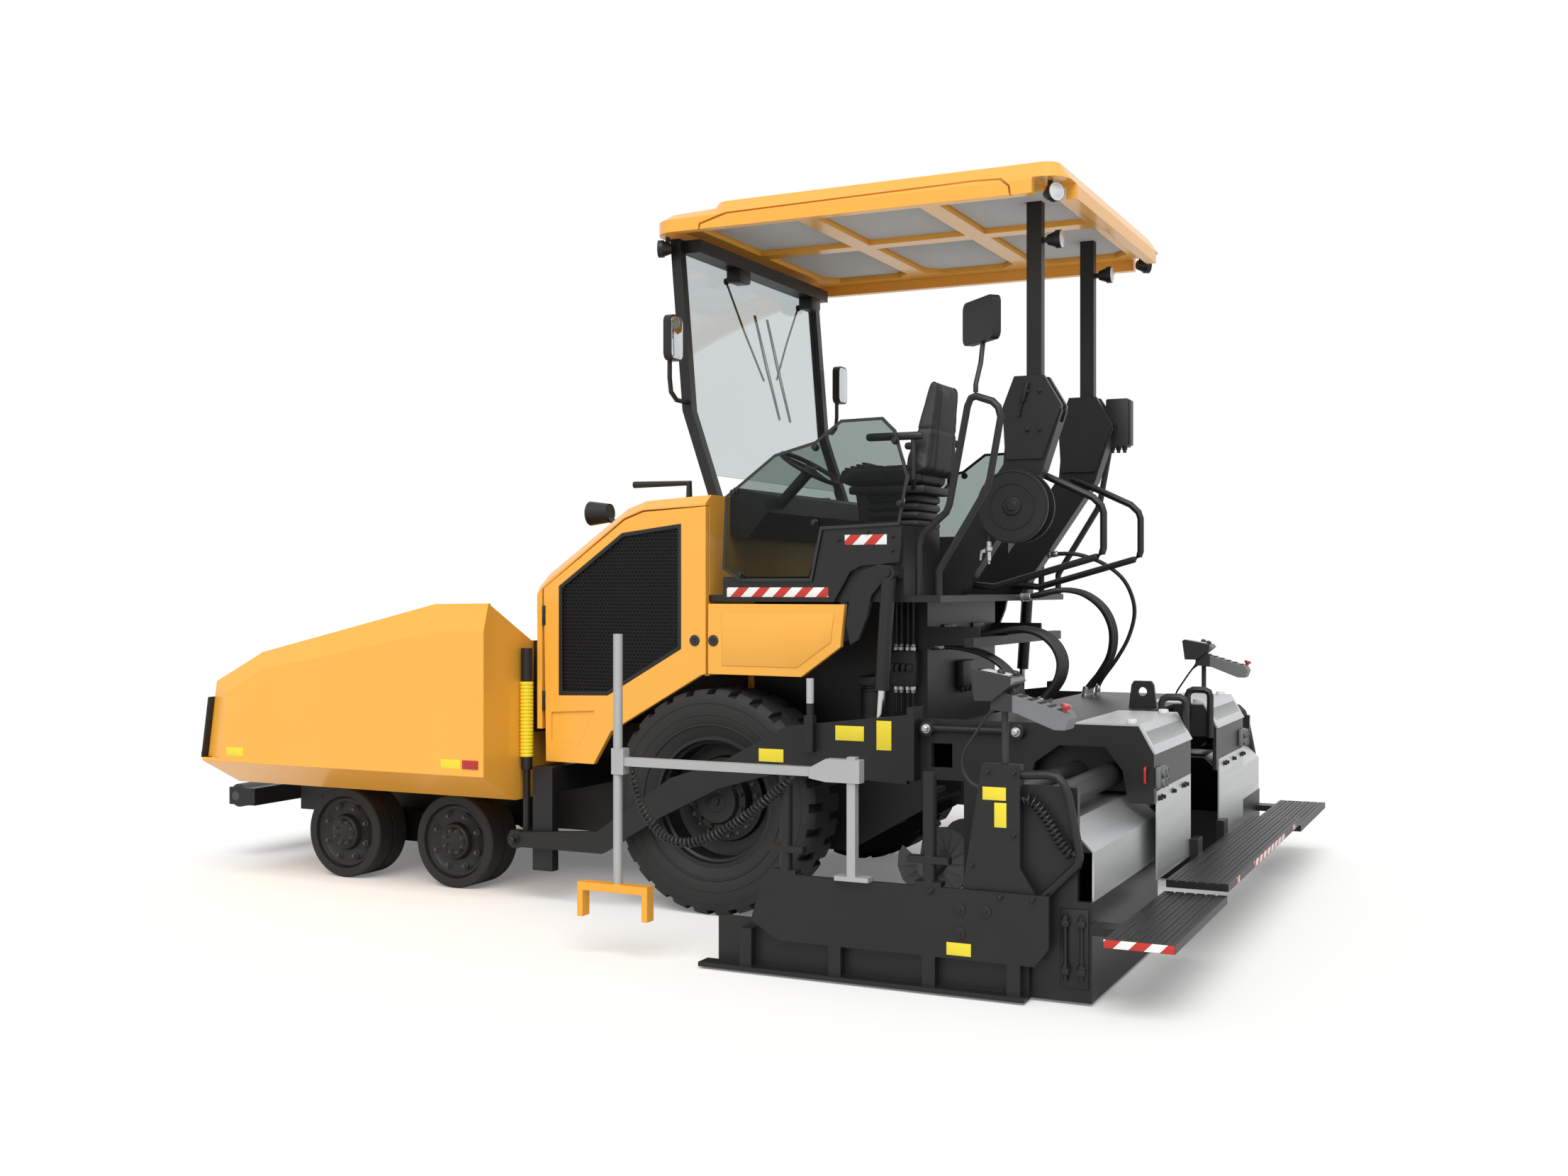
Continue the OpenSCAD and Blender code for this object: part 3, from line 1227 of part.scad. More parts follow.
// Fixed middle of the screed: hollow base on its sole plate, two hoods with a gap between, and end plates
module main_screed() {
    front_x = arm_rear_x - flange_w;
    housing_h = screed_top_z - upper_z;
    bay_w = (2 * screed_half - (base_bays + 1) * screed_t) / base_bays;
    deck_x = screed_front_x - screed_l * (1 - deck_share);
    hood = [[screed_front_x, screed_top_z], [screed_rear_x + chamfer_l, screed_top_z],
        [screed_rear_x, screed_top_z - chamfer_h], [screed_rear_x, upper_z],
        [screed_rear_x + screed_t, upper_z],
        [screed_rear_x + screed_t, screed_top_z - chamfer_h - screed_t / 4],
        [screed_rear_x + chamfer_l + screed_t / 2, screed_top_z - screed_t],
        [screed_front_x, screed_top_z - screed_t]];
    color(black) {
        difference() {
            block([base_rear_x, screed_front_x], [-screed_half, screed_half], [screed_low_z, upper_z]);
            for (i = [0:base_bays - 1])
                block([base_rear_x + screed_t, screed_front_x - screed_t],
                    [screed_t - screed_half + i * (bay_w + screed_t),
                    screed_t - screed_half + i * (bay_w + screed_t) + bay_w],
                    [screed_low_z + sole_t, upper_z + overrun]);
        }
        block([screed_front_x - screed_t, screed_front_x], [-screed_half, screed_half],
            [upper_z, screed_top_z]);
        block([deck_x, screed_front_x], [-gap_half, gap_half], [screed_top_z - screed_t, screed_top_z]);
        both_sides() {
            side_plate(hood, gap_half, screed_half - gap_half);
            side_plate([[screed_front_x, tube_z + tube_r + pass_gap], [screed_front_x, screed_top_z],
                [screed_rear_x + chamfer_l, screed_top_z], [screed_rear_x, screed_top_z - chamfer_h],
                [screed_rear_x, tube_z + tube_r + pass_gap]], gap_half, screed_t);
            side_plate(spread(end_shares, screed_rear_x, upper_z, screed_l, housing_h),
                screed_half - 2 * screed_t,
                2 * screed_t);
            difference() {
                block([screed_front_x, front_x], [screed_half - 2 * screed_t, screed_half],
                    [upper_z + plate_drop, screed_top_z]);
                block([screed_front_x + plate_drop, front_x - plate_drop],
                    [screed_half - 3 * screed_t, screed_half + overrun],
                    [upper_z + 2 * plate_drop, screed_top_z - 2 * plate_drop]);
            }
            difference() {
                side_plate([[base_rear_x + screed_t, tube_z - bush_drop], [base_rear_x + screed_t, screed_top_z],
                    [screed_rear_x + chamfer_l, screed_top_z], [screed_rear_x, screed_top_z - chamfer_h],
                    [screed_rear_x, tube_z - bush_drop]], bush_y, screed_t);
                for (x = tube_x)
                    y_bar(x, tube_z, [bush_y - overrun, bush_y + screed_t + overrun], tube_r + seat_gap);
            }
            for (x = [front_x - link_lug, base_rear_x + link_lug])
                y_bar(x, link_z, [screed_half, screed_half + link_lug], link_d);
            translate([base_rear_x + link_lug, screed_half + link_lug / 2, link_z]) rotate([0, 90, 0])
                cylinder(d = link_d, h = front_x - base_rear_x - 2 * link_lug);
        }
    }
}

// Bright cover sheets on the hoods and the plates that hang behind them
module screed_covers() {
    cover_x = screed_rear_x + screed_l * cover_share;
    color(silver) both_sides() {
        side_plate([[cover_x, screed_top_z], [cover_x, screed_top_z + plate_t],
            [screed_rear_x + chamfer_l - plate_t / 2, screed_top_z + plate_t],
            [screed_rear_x - plate_t, screed_top_z - chamfer_h + plate_t / 2],
            [screed_rear_x - plate_t, screed_top_z - chamfer_h],
            [screed_rear_x, screed_top_z - chamfer_h], [screed_rear_x + chamfer_l, screed_top_z]],
            gap_half, screed_half - gap_half);
        block([screed_rear_x - plate_t, screed_rear_x], [gap_half + hanger_in, screed_half - hanger_in],
            [hanger_z, upper_z + plate_drop]);
    }
}

// Grab rails beside the gap and the lifting eye on the deck
module screed_rails() {
    housing_h = screed_top_z - upper_z;
    eye_x = screed_rear_x + screed_l * (eye_plate_shares[0][0] + eye_plate_shares[5][0]) / 2;
    color(black) {
        both_sides() swept_tube([for (p = u_rail_shares)
            [screed_rear_x + p[0] * screed_l, rail_y, upper_z + p[1] * housing_h]], rail_d);
        difference() {
            side_plate(spread(eye_plate_shares, screed_rear_x, upper_z, screed_l, housing_h),
                -eye_plate_t / 2, eye_plate_t);
            y_bar(eye_x, screed_top_z + housing_h * 0.24, [-eye_plate_t, eye_plate_t], lug_hole_r);
        }
    }
}

module centre_walkway() {
    color(black) {
        tread([walk_inset - screed_half, screed_half - walk_inset], walk_z);
        both_sides() block([walk_rear_x + walk_w, screed_rear_x - plate_t], walk_arm_y,
            [walk_z - walk_t, walk_z + walk_arm_h]);
    }
}

// Walkway plank along Y with grooves in its top
module tread(y, top_z) {
    difference() {
        block([walk_rear_x, walk_rear_x + walk_w], y, [top_z - walk_t, top_z]);
        for (i = [1:groove_count])
            block([walk_rear_x + walk_w * i / (groove_count + 1) - groove_w / 2,
                walk_rear_x + walk_w * i / (groove_count + 1) + groove_w / 2],
                [y[0] - overrun, y[1] + overrun], [top_z - groove_w / 2, top_z + overrun]);
    }
}

// Left extender: open box on its sole plate, guide tubes, end tower with its rail, and the walkway's end
module extender() {
    y = [extender_y - extender_l, extender_y];
    step_z = walk_z - walk_t - walk_drop;
    tower_d = gate_y - gate_t - seat_gap - y[1];
    color(black) {
        difference() {
            block([extender_rear_x, extender_front_x], y, [screed_low_z, extender_z]);
            block([extender_rear_x + screed_t, extender_front_x - screed_t], [y[0] + screed_t, y[1] - riser_t],
                [screed_low_z + sole_t, extender_z + overrun]);
        }
        for (x = tube_x)
            y_bar(x, tube_z, y, tube_r);
        block([extender_rear_x + riser_in, extender_front_x - riser_in], [y[1] - riser_t, y[1]],
            [extender_z, tube_z + tube_r]);
        side_plate(spread(tower_shares, tower_rear_x, tower_low_z, tower_l, tower_h), y[1], tower_d);
        swept_tube([for (p = loop_shares) [tower_rear_x + p[0] * tower_l, y[1] + tower_d / 2,
            tower_low_z + p[1] * tower_h]], rail_d);
        tread([screed_half, walk_half], step_z);
        block([walk_rear_x + walk_w, extender_rear_x], [y[1] - walk_stay_w, y[1]], [step_z - walk_t, step_z]);
    }
}

// Left extender's bright cover
module extender_cover() {
    y = [extender_y - extender_l, extender_y - riser_t];
    h = extender_top_z - extender_z;
    color(silver) difference() {
        side_plate(spread(cover_shares, extender_rear_x, extender_z, extender_w, h), y[0], y[1] - y[0]);
        side_plate(spread(cover_in_shares, extender_rear_x, extender_z, extender_w, h), y[0] - overrun,
            y[1] - y[0] + 2 * overrun);
    }
}

// Left operator's console: keypad and screen on a post from the tower
module console() {
    y = (extender_y + gate_y - gate_t - seat_gap) / 2;
    rear_x = tower_rear_x - tower_l * 0.28;
    foot_z = tower_low_z + tower_h;
    color(grey) {
        translate([rear_x + console_l * 0.7, y, foot_z + seat_gap])
            cylinder(d = rail_d * 0.8, h = console_z - foot_z + console_h * 0.4);
        side_plate(spread(keypad_shares, rear_x, console_z, console_l, console_h), y - console_w / 2,
            console_w);
        side_plate(spread(screen_shares, rear_x, console_z, console_l, console_h), y - screen_w / 2, screen_w);
    }
}

// Left end gate with its skid and lift posts
module end_gate() {
    skid_rear_x = skid_front_x - skid_l;
    in_y = gate_y - gate_t;
    plate_h = gate_z - gate_low_z;
    post_y0 = gate_y - gate_post_d;
    bar_z = gate_z + gate_post_h * gate_bar_share;
    color(black) {
        difference() {
            side_plate(spread(gate_shares, gate_rear_x, gate_low_z, gate_l, plate_h), in_y, gate_t);
            for (p = spread(gate_hole_shares, gate_rear_x, gate_low_z, gate_l, plate_h))
                y_bar(p[0], p[1], [in_y - overrun, gate_y + overrun], gate_hole_r);
        }
        block([skid_rear_x, skid_front_x - skid_tip], [in_y - web_in, in_y - web_in + web_t],
            [skid_low_z, web_h]);
        block([skid_rear_x, skid_front_x], [in_y - skid_in, gate_y + skid_out],
            [skid_low_z, skid_low_z + skid_t]);
        for (share = rib_shares)
            block([skid_front_x - skid_l * share, skid_front_x - skid_l * share + rib_w],
            [in_y - web_in, gate_y],
                [skid_low_z + skid_t, rib_h]);
        for (share = gate_post_shares) {
            x = gate_rear_x + gate_l * share;
            translate([x, post_y0 + gate_post_d / 2, gate_z]) cylinder(d = gate_post_d, h = gate_post_h);
            block([x - gate_bar_l / 2, x + gate_bar_l / 2], [post_y0 + gate_post_d * 0.2, gate_y],
                [bar_z, bar_z + gate_post_d / 2]);
            block([x - gate_post_d, x + gate_post_d], [post_y0, gate_y], [gate_z, gate_z + skid_t]);
        }
    }
}

// Left sensor arm: post on the gate's top edge, clamp, beam and pole with the sensor bracket
module sensor_arm() {
    half = sensor_bar / 2;
    y = gate_y + half;
    beam_front_x = sensor_beam_rear_x + sensor_beam_l;
    foot_x = [foot_rear_x, foot_rear_x + foot_l];
    color(silver) {
        block([sensor_post_x - half, sensor_post_x + half], [y - half, y + half], [gate_z, sensor_post_z]);
        block([sensor_post_x - 2 * sensor_bar, sensor_post_x + 2 * sensor_bar], [gate_y - gate_t, y + half],
            [gate_z, gate_z + skid_t]);
        side_plate(spread(clamp_shares, sensor_beam_rear_x, sensor_beam_z, clamp_l, clamp_h), y - half * 1.4,
            half * 2.8);
        block([sensor_beam_rear_x, beam_front_x], [y - half, y + half],
            [sensor_beam_z + half, sensor_beam_z + half + sensor_bar]);
        translate([pole_x, y, pole_low_z]) cylinder(d = pole_d, h = pole_l);
        block([beam_front_x - half, pole_x + half], [y - half * 1.4, y + half * 1.4],
            [sensor_beam_z - half, sensor_beam_z + clamp_h]);
        block(foot_x, [y - foot_half, y + foot_half], [foot_low_z + foot_h, pole_low_z]);
        for (x = [foot_x[0], foot_x[1] - foot_half])
            block([x, x + foot_half], [y - foot_half, y + foot_half], [foot_low_z, foot_low_z + foot_h]);
    }
}

placed() chassis_frame();
placed() conveyors();
placed() engine_block();
placed() hood();
placed() hood_lamps();
placed() platform();
placed() side_glass();
placed() dashboard();
placed() seat();
placed() canopy_supports();
placed() canopy_posts();
placed() canopy_roof();
placed() windshield_frame();
placed() windshield_glass();
placed() guard_rails();
placed() hose_reel();
placed() tow_guides();
placed() bogie_beams();
placed() auger_case();
placed() drive_tyre();  // drive_tyre_left
placed() on_side(true) drive_tyre();  // drive_tyre_right
placed() drive_rim();  // drive_rim_left
placed() on_side(true) drive_rim();  // drive_rim_right
placed() knuckle(bogie_front_x);  // knuckle_front_left
placed() on_side(true) knuckle(bogie_front_x);  // knuckle_front_right
placed() knuckle(bogie_rear_x);  // knuckle_rear_left
placed() on_side(true) knuckle(bogie_rear_x);  // knuckle_rear_right
placed() bogie_wheel(bogie_front_x);  // wheel_front_left
placed() on_side(true) bogie_wheel(bogie_front_x);  // wheel_front_right
placed() bogie_wheel(bogie_rear_x);  // wheel_rear_left
placed() on_side(true) bogie_wheel(bogie_rear_x);  // wheel_rear_right
placed() hopper_wing();  // hopper_wing_left
placed() on_side(true) hopper_wing();  // hopper_wing_right
placed() engine_door();  // engine_door_left
placed() on_side(true) engine_door();  // engine_door_right
placed() service_panel();  // service_panel_left
placed() on_side(true) service_panel();  // service_panel_right
placed() push_beam();
placed() push_rollers();
placed() auger();  // auger_left
placed() on_side(true) auger();  // auger_right
placed() lift_barrels();
placed() lift_rods();
placed() tow_arms();
placed() main_screed();
placed() screed_covers();
placed() centre_walkway();
placed() extender();  // extender_left
placed() on_side(true) extender();  // extender_right
placed() end_gate();  // end_gate_left
placed() on_side(true) end_gate();  // end_gate_right
placed() sensor_arm();  // sensor_arm_left
placed() on_side(true) sensor_arm();  // sensor_arm_right
placed() work_lamps();
placed() mirrors();
placed() screed_rails();
placed() extender_cover();  // extender_cover_left
placed() on_side(true) extender_cover();  // extender_cover_right
placed() console();  // console_left
placed() on_side(true) console();  // console_right
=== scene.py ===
import math

import bpy
from mathutils import Matrix, Vector


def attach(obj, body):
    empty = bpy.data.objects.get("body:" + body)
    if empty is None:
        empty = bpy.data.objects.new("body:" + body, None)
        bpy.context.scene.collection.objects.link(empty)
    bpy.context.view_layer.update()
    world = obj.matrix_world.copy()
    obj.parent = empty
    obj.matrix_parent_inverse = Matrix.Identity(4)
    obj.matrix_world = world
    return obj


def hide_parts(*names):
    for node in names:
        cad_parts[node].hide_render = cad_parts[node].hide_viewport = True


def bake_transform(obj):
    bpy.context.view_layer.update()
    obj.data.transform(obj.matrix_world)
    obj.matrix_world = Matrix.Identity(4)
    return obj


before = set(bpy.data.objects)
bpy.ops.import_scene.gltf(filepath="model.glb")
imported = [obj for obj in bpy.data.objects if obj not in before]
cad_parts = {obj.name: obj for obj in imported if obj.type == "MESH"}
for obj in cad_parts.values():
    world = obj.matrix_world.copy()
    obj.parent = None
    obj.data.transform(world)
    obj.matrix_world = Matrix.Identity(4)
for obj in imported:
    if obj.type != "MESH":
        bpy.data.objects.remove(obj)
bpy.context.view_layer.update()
print("frame loaded with", len(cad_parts), "nodes")

# places are millimetres from the drive axle, as in the part's source, and the left side is +y
machine = {"axle": 505}
sides = {"left": 1, "right": -1}


def place(x, y, z):
    return Vector(((x - machine["axle"]) / 1000, y / 1000, z / 1000))


def linear(code):
    parts = [int(code[i:i + 2], 16) / 255 for i in (1, 3, 5)]
    return tuple(p / 12.92 if p <= 0.04045 else ((p + 0.055) / 1.055) ** 2.4 for p in parts) + (1,)


def addNode(tree, kind, settings={}, links={}):
    node = tree.nodes.new("ShaderNode" + kind)
    for key, value in settings.items():
        if isinstance(key, str) and hasattr(node, key):
            setattr(node, key, value)
        else:
            node.inputs[key].default_value = value
    for key, socket in links.items():
        tree.links.new(socket, node.inputs[key])
    return node


# starts a material: its tree, its shader with the same-all-over values, and Object coordinates
def newFinish(name, settings):
    material = bpy.data.materials.new(name)
    material.use_nodes = True
    tree = material.node_tree
    shader = tree.nodes["Principled BSDF"]
    for key, value in settings.items():
        shader.inputs[key].default_value = value
    coords = addNode(tree, "TexCoord").outputs["Object"]
    return material, tree, shader, coords


# patterns are sized in millimetres: one cell of a texture at scale 1 is a metre
def perMetre(millimetres):
    return 1000 / millimetres


# colour that drifts between two tones, and a bump over edges that are broken by a few millimetres
def mottle(tree, shader, coords, tones, patch, grain, height, edge):
    drift = addNode(tree, "TexNoise", {"Scale": perMetre(patch), "Detail": 3}, {"Vector": coords})
    tone = addNode(tree, "Mix", {"data_type": "RGBA", 6: linear(tones[0]), 7: linear(tones[1])},
                   {0: drift.outputs["Fac"]})
    tree.links.new(tone.outputs[2], shader.inputs["Base Color"])
    fine = addNode(tree, "TexNoise", {"Scale": perMetre(grain), "Detail": 2}, {"Vector": coords})
    bump = addNode(tree, "Bump", {"Strength": 0.35, "Distance": height / 1000},
                   {"Height": fine.outputs["Fac"]})
    if edge:
        brokenEdge = addNode(tree, "Bevel", {"samples": 4, "Radius": edge / 1000})
        tree.links.new(brokenEdge.outputs["Normal"], bump.inputs["Normal"])
    tree.links.new(bump.outputs["Normal"], shader.inputs["Normal"])
    return tone


# a finish of one mottled skin, with a second tone past a place on one axis, in metres
def skin(name, settings, tones, patch, grain, height, edge=0, past=None):
    material, tree, shader, coords = newFinish(name, settings)
    tone = mottle(tree, shader, coords, tones, patch, grain, height, edge)
    if past:
        axes = addNode(tree, "SeparateXYZ", {}, {0: coords})
        beyond = addNode(tree, "Math", {"operation": past["test"], 1: past["limit"]},
                         {0: axes.outputs[past["axis"]]})
        painted = addNode(tree, "Mix", {"data_type": "RGBA", 7: linear(past["tone"])},
                          {0: beyond.outputs[0], 6: tone.outputs[2]})
        tree.links.new(painted.outputs[2], shader.inputs["Base Color"])
    return material


# polyurethane enamel sprayed on steel: a warm gloss with faint orange peel, drawn coarse so that it shows
yellowEnamel = skin("yellowEnamel",
                    {"Roughness": 0.32, "IOR": 1.5, "Coat Weight": 0.3, "Coat Roughness": 0.1},
                    ("#F7B343", "#F4AD3E"), patch=700, grain=9, height=0.25, edge=6)

# satin powder coat on welded plate: deep black with a fine leathery grain
blackPowderCoat = skin("blackPowderCoat", {"Roughness": 0.42, "IOR": 1.42},
                       ("#171717", "#1F1F1F"), patch=260, grain=5, height=0.3, edge=4)

# the same coat on the tow arms, whose grade posts are zinc plated above their clamps
armCoat = skin("armCoat", {"Roughness": 0.42, "IOR": 1.42},
               ("#171717", "#1F1F1F"), patch=260, grain=5, height=0.3, edge=4,
               past={"tone": "#B9BCBE", "axis": "Z", "test": "GREATER_THAN", "limit": 1.155})

# vulcanised tyre rubber: dull charcoal, a little dusty
tyreRubber = skin("tyreRubber", {"Roughness": 0.72, "IOR": 1.52},
                  ("#131313", "#1D1D1C"), patch=120, grain=4, height=0.4, edge=6)

# hydraulic hose cover: black rubber with the faint wrap of its cloth
hoseRubber = skin("hoseRubber", {"Roughness": 0.5, "IOR": 1.52},
                  ("#131314", "#1B1B1C"), patch=60, grain=3, height=0.5)

# galvanised sheet brushed along the screed: bright grey with lines that run across the machine, drawn coarse
brushedZinc, tree, shader, coords = newFinish("brushedZinc", {"Metallic": 0.85, "Roughness": 0.38})
along = addNode(tree, "Mapping", {"Scale": (1, 0.03, 1)}, {"Vector": coords})
mottle(tree, shader, along.outputs[0], ("#D2D4D5", "#B9BCBE"), patch=45, grain=7, height=0.3, edge=0)

# hard chrome ground to a mirror
hardChrome = skin("hardChrome", {"Metallic": 1, "Roughness": 0.12},
                  ("#D6D8DA", "#CFD1D3"), patch=60, grain=3, height=0.05, edge=2)

# zinc plated steel of fittings and bolts: pale, slightly clouded
zincPlate = skin("zincPlate", {"Metallic": 0.9, "Roughness": 0.3},
                 ("#C9CBC8", "#AEB1B0"), patch=20, grain=4, height=0.1, edge=1)

# cast iron with a painted skin: grey with the sand's coarse grain
castIron = skin("castIron", {"Roughness": 0.6, "IOR": 1.5},
                ("#3A3B3C", "#48494A"), patch=140, grain=5, height=0.6, edge=4)

# grey-green tinted safety glass, a thin pane with a faint reflection
tintedGlass = skin("tintedGlass", {"Roughness": 0.02, "IOR": 1.2, "Transmission Weight": 1},
                   ("#8C9893", "#939E99"), patch=900, grain=300, height=0.02)

# clear laminated glass with a grey cast
clearGlass = skin("clearGlass", {"Roughness": 0.02, "IOR": 1.45, "Transmission Weight": 1},
                  ("#C2CACA", "#CAD1D1"), patch=900, grain=300, height=0.02)

# moulded clear polycarbonate of the lamps, over a bright bowl
lampLens = skin("lampLens", {"Roughness": 0.12, "IOR": 1.58, "Coat Weight": 0.6},
                ("#E3E6E8", "#C3C8CC"), patch=9, grain=6, height=0.8)

# silvered mirror glass
mirrorGlass = skin("mirrorGlass", {"Metallic": 1, "Roughness": 0.03},
                   ("#C8CCCE", "#C1C5C8"), patch=300, grain=200, height=0.01)

# red moulded acrylic of reflectors, handles and knobs
redAcrylic = skin("redAcrylic", {"Roughness": 0.25, "IOR": 1.49, "Coat Weight": 0.4},
                  ("#B8211C", "#A61B17"), patch=40, grain=5, height=0.3, edge=1)

# black upholstery vinyl with a pressed grain
seatVinyl = skin("seatVinyl", {"Roughness": 0.55, "IOR": 1.5},
                 ("#1C1C1D", "#242425"), patch=90, grain=4, height=0.5)

# anodised aluminium profile, matt, with a painted foot below
mattAluminium = skin("mattAluminium", {"Metallic": 0.35, "Roughness": 0.5},
                     ("#B2B3B4", "#A9AAAB"), patch=200, grain=4, height=0.1, edge=3,
                     past={"tone": "#F5AF40", "axis": "Z", "test": "LESS_THAN", "limit": 0.355})

# moulded ABS of the consoles: mid grey with a spark-eroded grain, and a darker screen head and stem in front
greyAbs = skin("greyAbs", {"Roughness": 0.55, "IOR": 1.53},
               ("#77797B", "#6E7072"), patch=80, grain=3, height=0.35, edge=6,
               past={"tone": "#242526", "axis": "X", "test": "GREATER_THAN", "limit": -2.492})

# dark moulded polypropylene of the dashboard and small fittings
darkPlastic = skin("darkPlastic", {"Roughness": 0.5, "IOR": 1.49},
                   ("#1F2021", "#282929"), patch=70, grain=3, height=0.4, edge=5)

# matt black mesh of the engine's air screens, also used for a near-black sheet behind it that is painted
# shade for the dark engine bay
screenMesh = skin("screenMesh", {"Roughness": 0.6, "IOR": 1.45},
                  ("#0C0C0D", "#121213"), patch=200, grain=6, height=0.2)

# off-white moulded caps and vents
whiteCap = skin("whiteCap", {"Roughness": 0.4, "IOR": 1.49},
                ("#E6E6E3", "#DADAD7"), patch=50, grain=4, height=0.2, edge=2)

# screen behind toughened glass: near black, glossy
screenGlass = skin("screenGlass", {"Roughness": 0.08, "IOR": 1.5, "Coat Weight": 1},
                   ("#0F1416", "#151B1E"), patch=60, grain=40, height=0.02)

# pressed felt lining under the roof: warm grey, fuzzy
greyFelt = skin("greyFelt", {"Roughness": 0.95, "IOR": 1.4, "Sheen Weight": 0.3},
                ("#B2B3B1", "#C0C1BF"), patch=12, grain=3, height=1.2)

# blank plates and the ribbed sleeves: yellow polyester foil with a soft gloss
plateFoil = skin("plateFoil", {"Roughness": 0.3, "IOR": 1.6},
                 ("#F0DC2C", "#EAD324"), patch=60, grain=12, height=0.05)

# warning tape: red and white bands 45 degrees across, a pair of them to each period along the edge
bandPeriod = 124
bandTape, tree, shader, coords = newFinish("bandTape", {"Roughness": 0.3, "IOR": 1.55})
mottle(tree, shader, coords, ("#F1F1EE", "#E8E8E5"), patch=80, grain=6, height=0.1, edge=0)
slope = addNode(tree, "VectorMath", {"operation": "DOT_PRODUCT", 1: (perMetre(bandPeriod),) * 3}, {0: coords})
turn = addNode(tree, "Math", {"operation": "FRACT"}, {0: slope.outputs["Value"]})
band = addNode(tree, "Math", {"operation": "GREATER_THAN", 1: 0.5}, {0: turn.outputs[0]})
striped = addNode(tree, "Mix", {"data_type": "RGBA", 6: linear("#EFEFEC"), 7: linear("#C22A22")},
                  {0: band.outputs[0]})
tree.links.new(striped.outputs[2], shader.inputs["Base Color"])
print("finishes mixed")

finishes = {
    "hood_lamps": blackPowderCoat, "hood": yellowEnamel, "engine_door": yellowEnamel,
    "service_panel": yellowEnamel, "hopper_wing": yellowEnamel, "canopy_roof": yellowEnamel,
    "drive_tyre": tyreRubber, "wheel": tyreRubber, "side_glass": tintedGlass, "windshield_glass": clearGlass,
    "seat": seatVinyl, "screed_covers": brushedZinc, "extender_cover": brushedZinc, "lift_rods": hardChrome,
    "engine_block": castIron, "auger_left": castIron, "auger_right": castIron, "push_rollers": castIron,
    "conveyors": castIron, "sensor_arm": mattAluminium, "tow_arms": armCoat, "console": greyAbs,
    "dashboard": darkPlastic,
}
# folded sheet keeps its shallow creases sharp, and turned or swept solids stay smooth, in degrees
creases = {"hopper_wing": 8, "hood": 9, "engine_door": 9, "service_panel": 9, "canopy_roof": 9,
           "screed_covers": 9, "extender_cover": 9}
smoothCrease = 32
for name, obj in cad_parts.items():
    finish = next((f for key, f in finishes.items() if name.startswith(key)), blackPowderCoat)
    crease = next((angle for key, angle in creases.items() if name.startswith(key)), smoothCrease)
    obj.data.materials.clear()
    obj.data.materials.append(finish)
    obj.data.polygons.foreach_set("use_smooth", [True] * len(obj.data.polygons))
    weld = obj.modifiers.new("seams", "WELD")
    weld.merge_threshold = 0.00002
    split = obj.modifiers.new("corners", "EDGE_SPLIT")
    split.split_angle = math.radians(crease)
print("finishes on the solids")


# a piece's body on one side, where each side has its own
def bodyOn(body, side):
    return body if body in ("tractor", "screed") else f"{body}_{side}"


# a stretch across the machine on one side, its lower end first
def stretch(sign, near, far):
    return sorted((sign * near, sign * far))


# four corners of a rectangle from its two ranges
def corners(across, up):
    return [(across[0], up[0]), (across[1], up[0]), (across[1], up[1]), (across[0], up[1])]


# an outline of (x, z) points in the plane at y
def atY(y, outline):
    return [place(x, y, z) for x, z in outline]


def clearPick():
    if bpy.context.object and bpy.context.object.mode != "OBJECT":
        bpy.ops.object.mode_set(mode="OBJECT")
    bpy.ops.object.select_all(action="DESELECT")


def pick(piece):
    clearPick()
    piece.select_set(True)
    bpy.context.view_layer.objects.active = piece


# goes into edit mode with only the faces picked that pass the test
def pickFaces(piece, test):
    pick(piece)
    bpy.ops.object.mode_set(mode="EDIT")
    bpy.ops.mesh.select_mode(type="FACE")
    bpy.ops.mesh.select_all(action="DESELECT")
    bpy.ops.object.mode_set(mode="OBJECT")
    for face in piece.data.polygons:
        face.select = test(face)
    bpy.ops.object.mode_set(mode="EDIT")


def facesUp(face):
    return face.normal.z > 0.9


def applied(piece, kind, settings):
    modifier = piece.modifiers.new(kind.lower(), kind)
    for key, value in settings.items():
        setattr(modifier, key, value)
    pick(piece)
    bpy.ops.object.modifier_apply(modifier=modifier.name)


def rounded(piece, edge, steps=2):
    applied(piece, "BEVEL", {"width": edge / 1000, "segments": steps, "limit_method": "ANGLE",
                             "angle_limit": math.radians(40)})


# a plate from its corners, pushed to its thickness, with an optional opening that leaves a rim
def plateFrom(spots, push, edge=0, rim=0):
    clearPick()
    bpy.ops.mesh.primitive_circle_add(vertices=len(spots), fill_type="NGON")
    plate = bpy.context.object
    for vertex, spot in zip(plate.data.vertices, spots):
        vertex.co = spot
    bpy.ops.object.mode_set(mode="EDIT")
    bpy.ops.mesh.select_all(action="SELECT")
    if rim:
        bpy.ops.mesh.inset(thickness=rim / 1000)
        bpy.ops.mesh.delete(type="FACE")
        bpy.ops.mesh.select_all(action="SELECT")
    bpy.ops.mesh.extrude_region_move(TRANSFORM_OT_translate={"value": Vector(push) / 1000})
    bpy.ops.mesh.select_all(action="SELECT")
    bpy.ops.mesh.normals_make_consistent(inside=False)
    bpy.ops.object.mode_set(mode="OBJECT")
    if edge:
        rounded(plate, edge)
    return plate


def boxFrom(x, y, z, edge=2):
    return plateFrom([place(a, b, z[0]) for a, b in corners(x, y)], (0, 0, z[1] - z[0]), edge)


# a plate upright on one side of the machine, pushed outward
def sidePlate(sign, y, outline, thick, edge=0, rim=0):
    return plateFrom(atY(sign * y, outline), (0, sign * thick, 0), edge, rim)


# the turn that brings +z to an axis
def turnTo(axis):
    return Vector(axis).to_track_quat("Z", "Y").to_matrix().to_4x4()


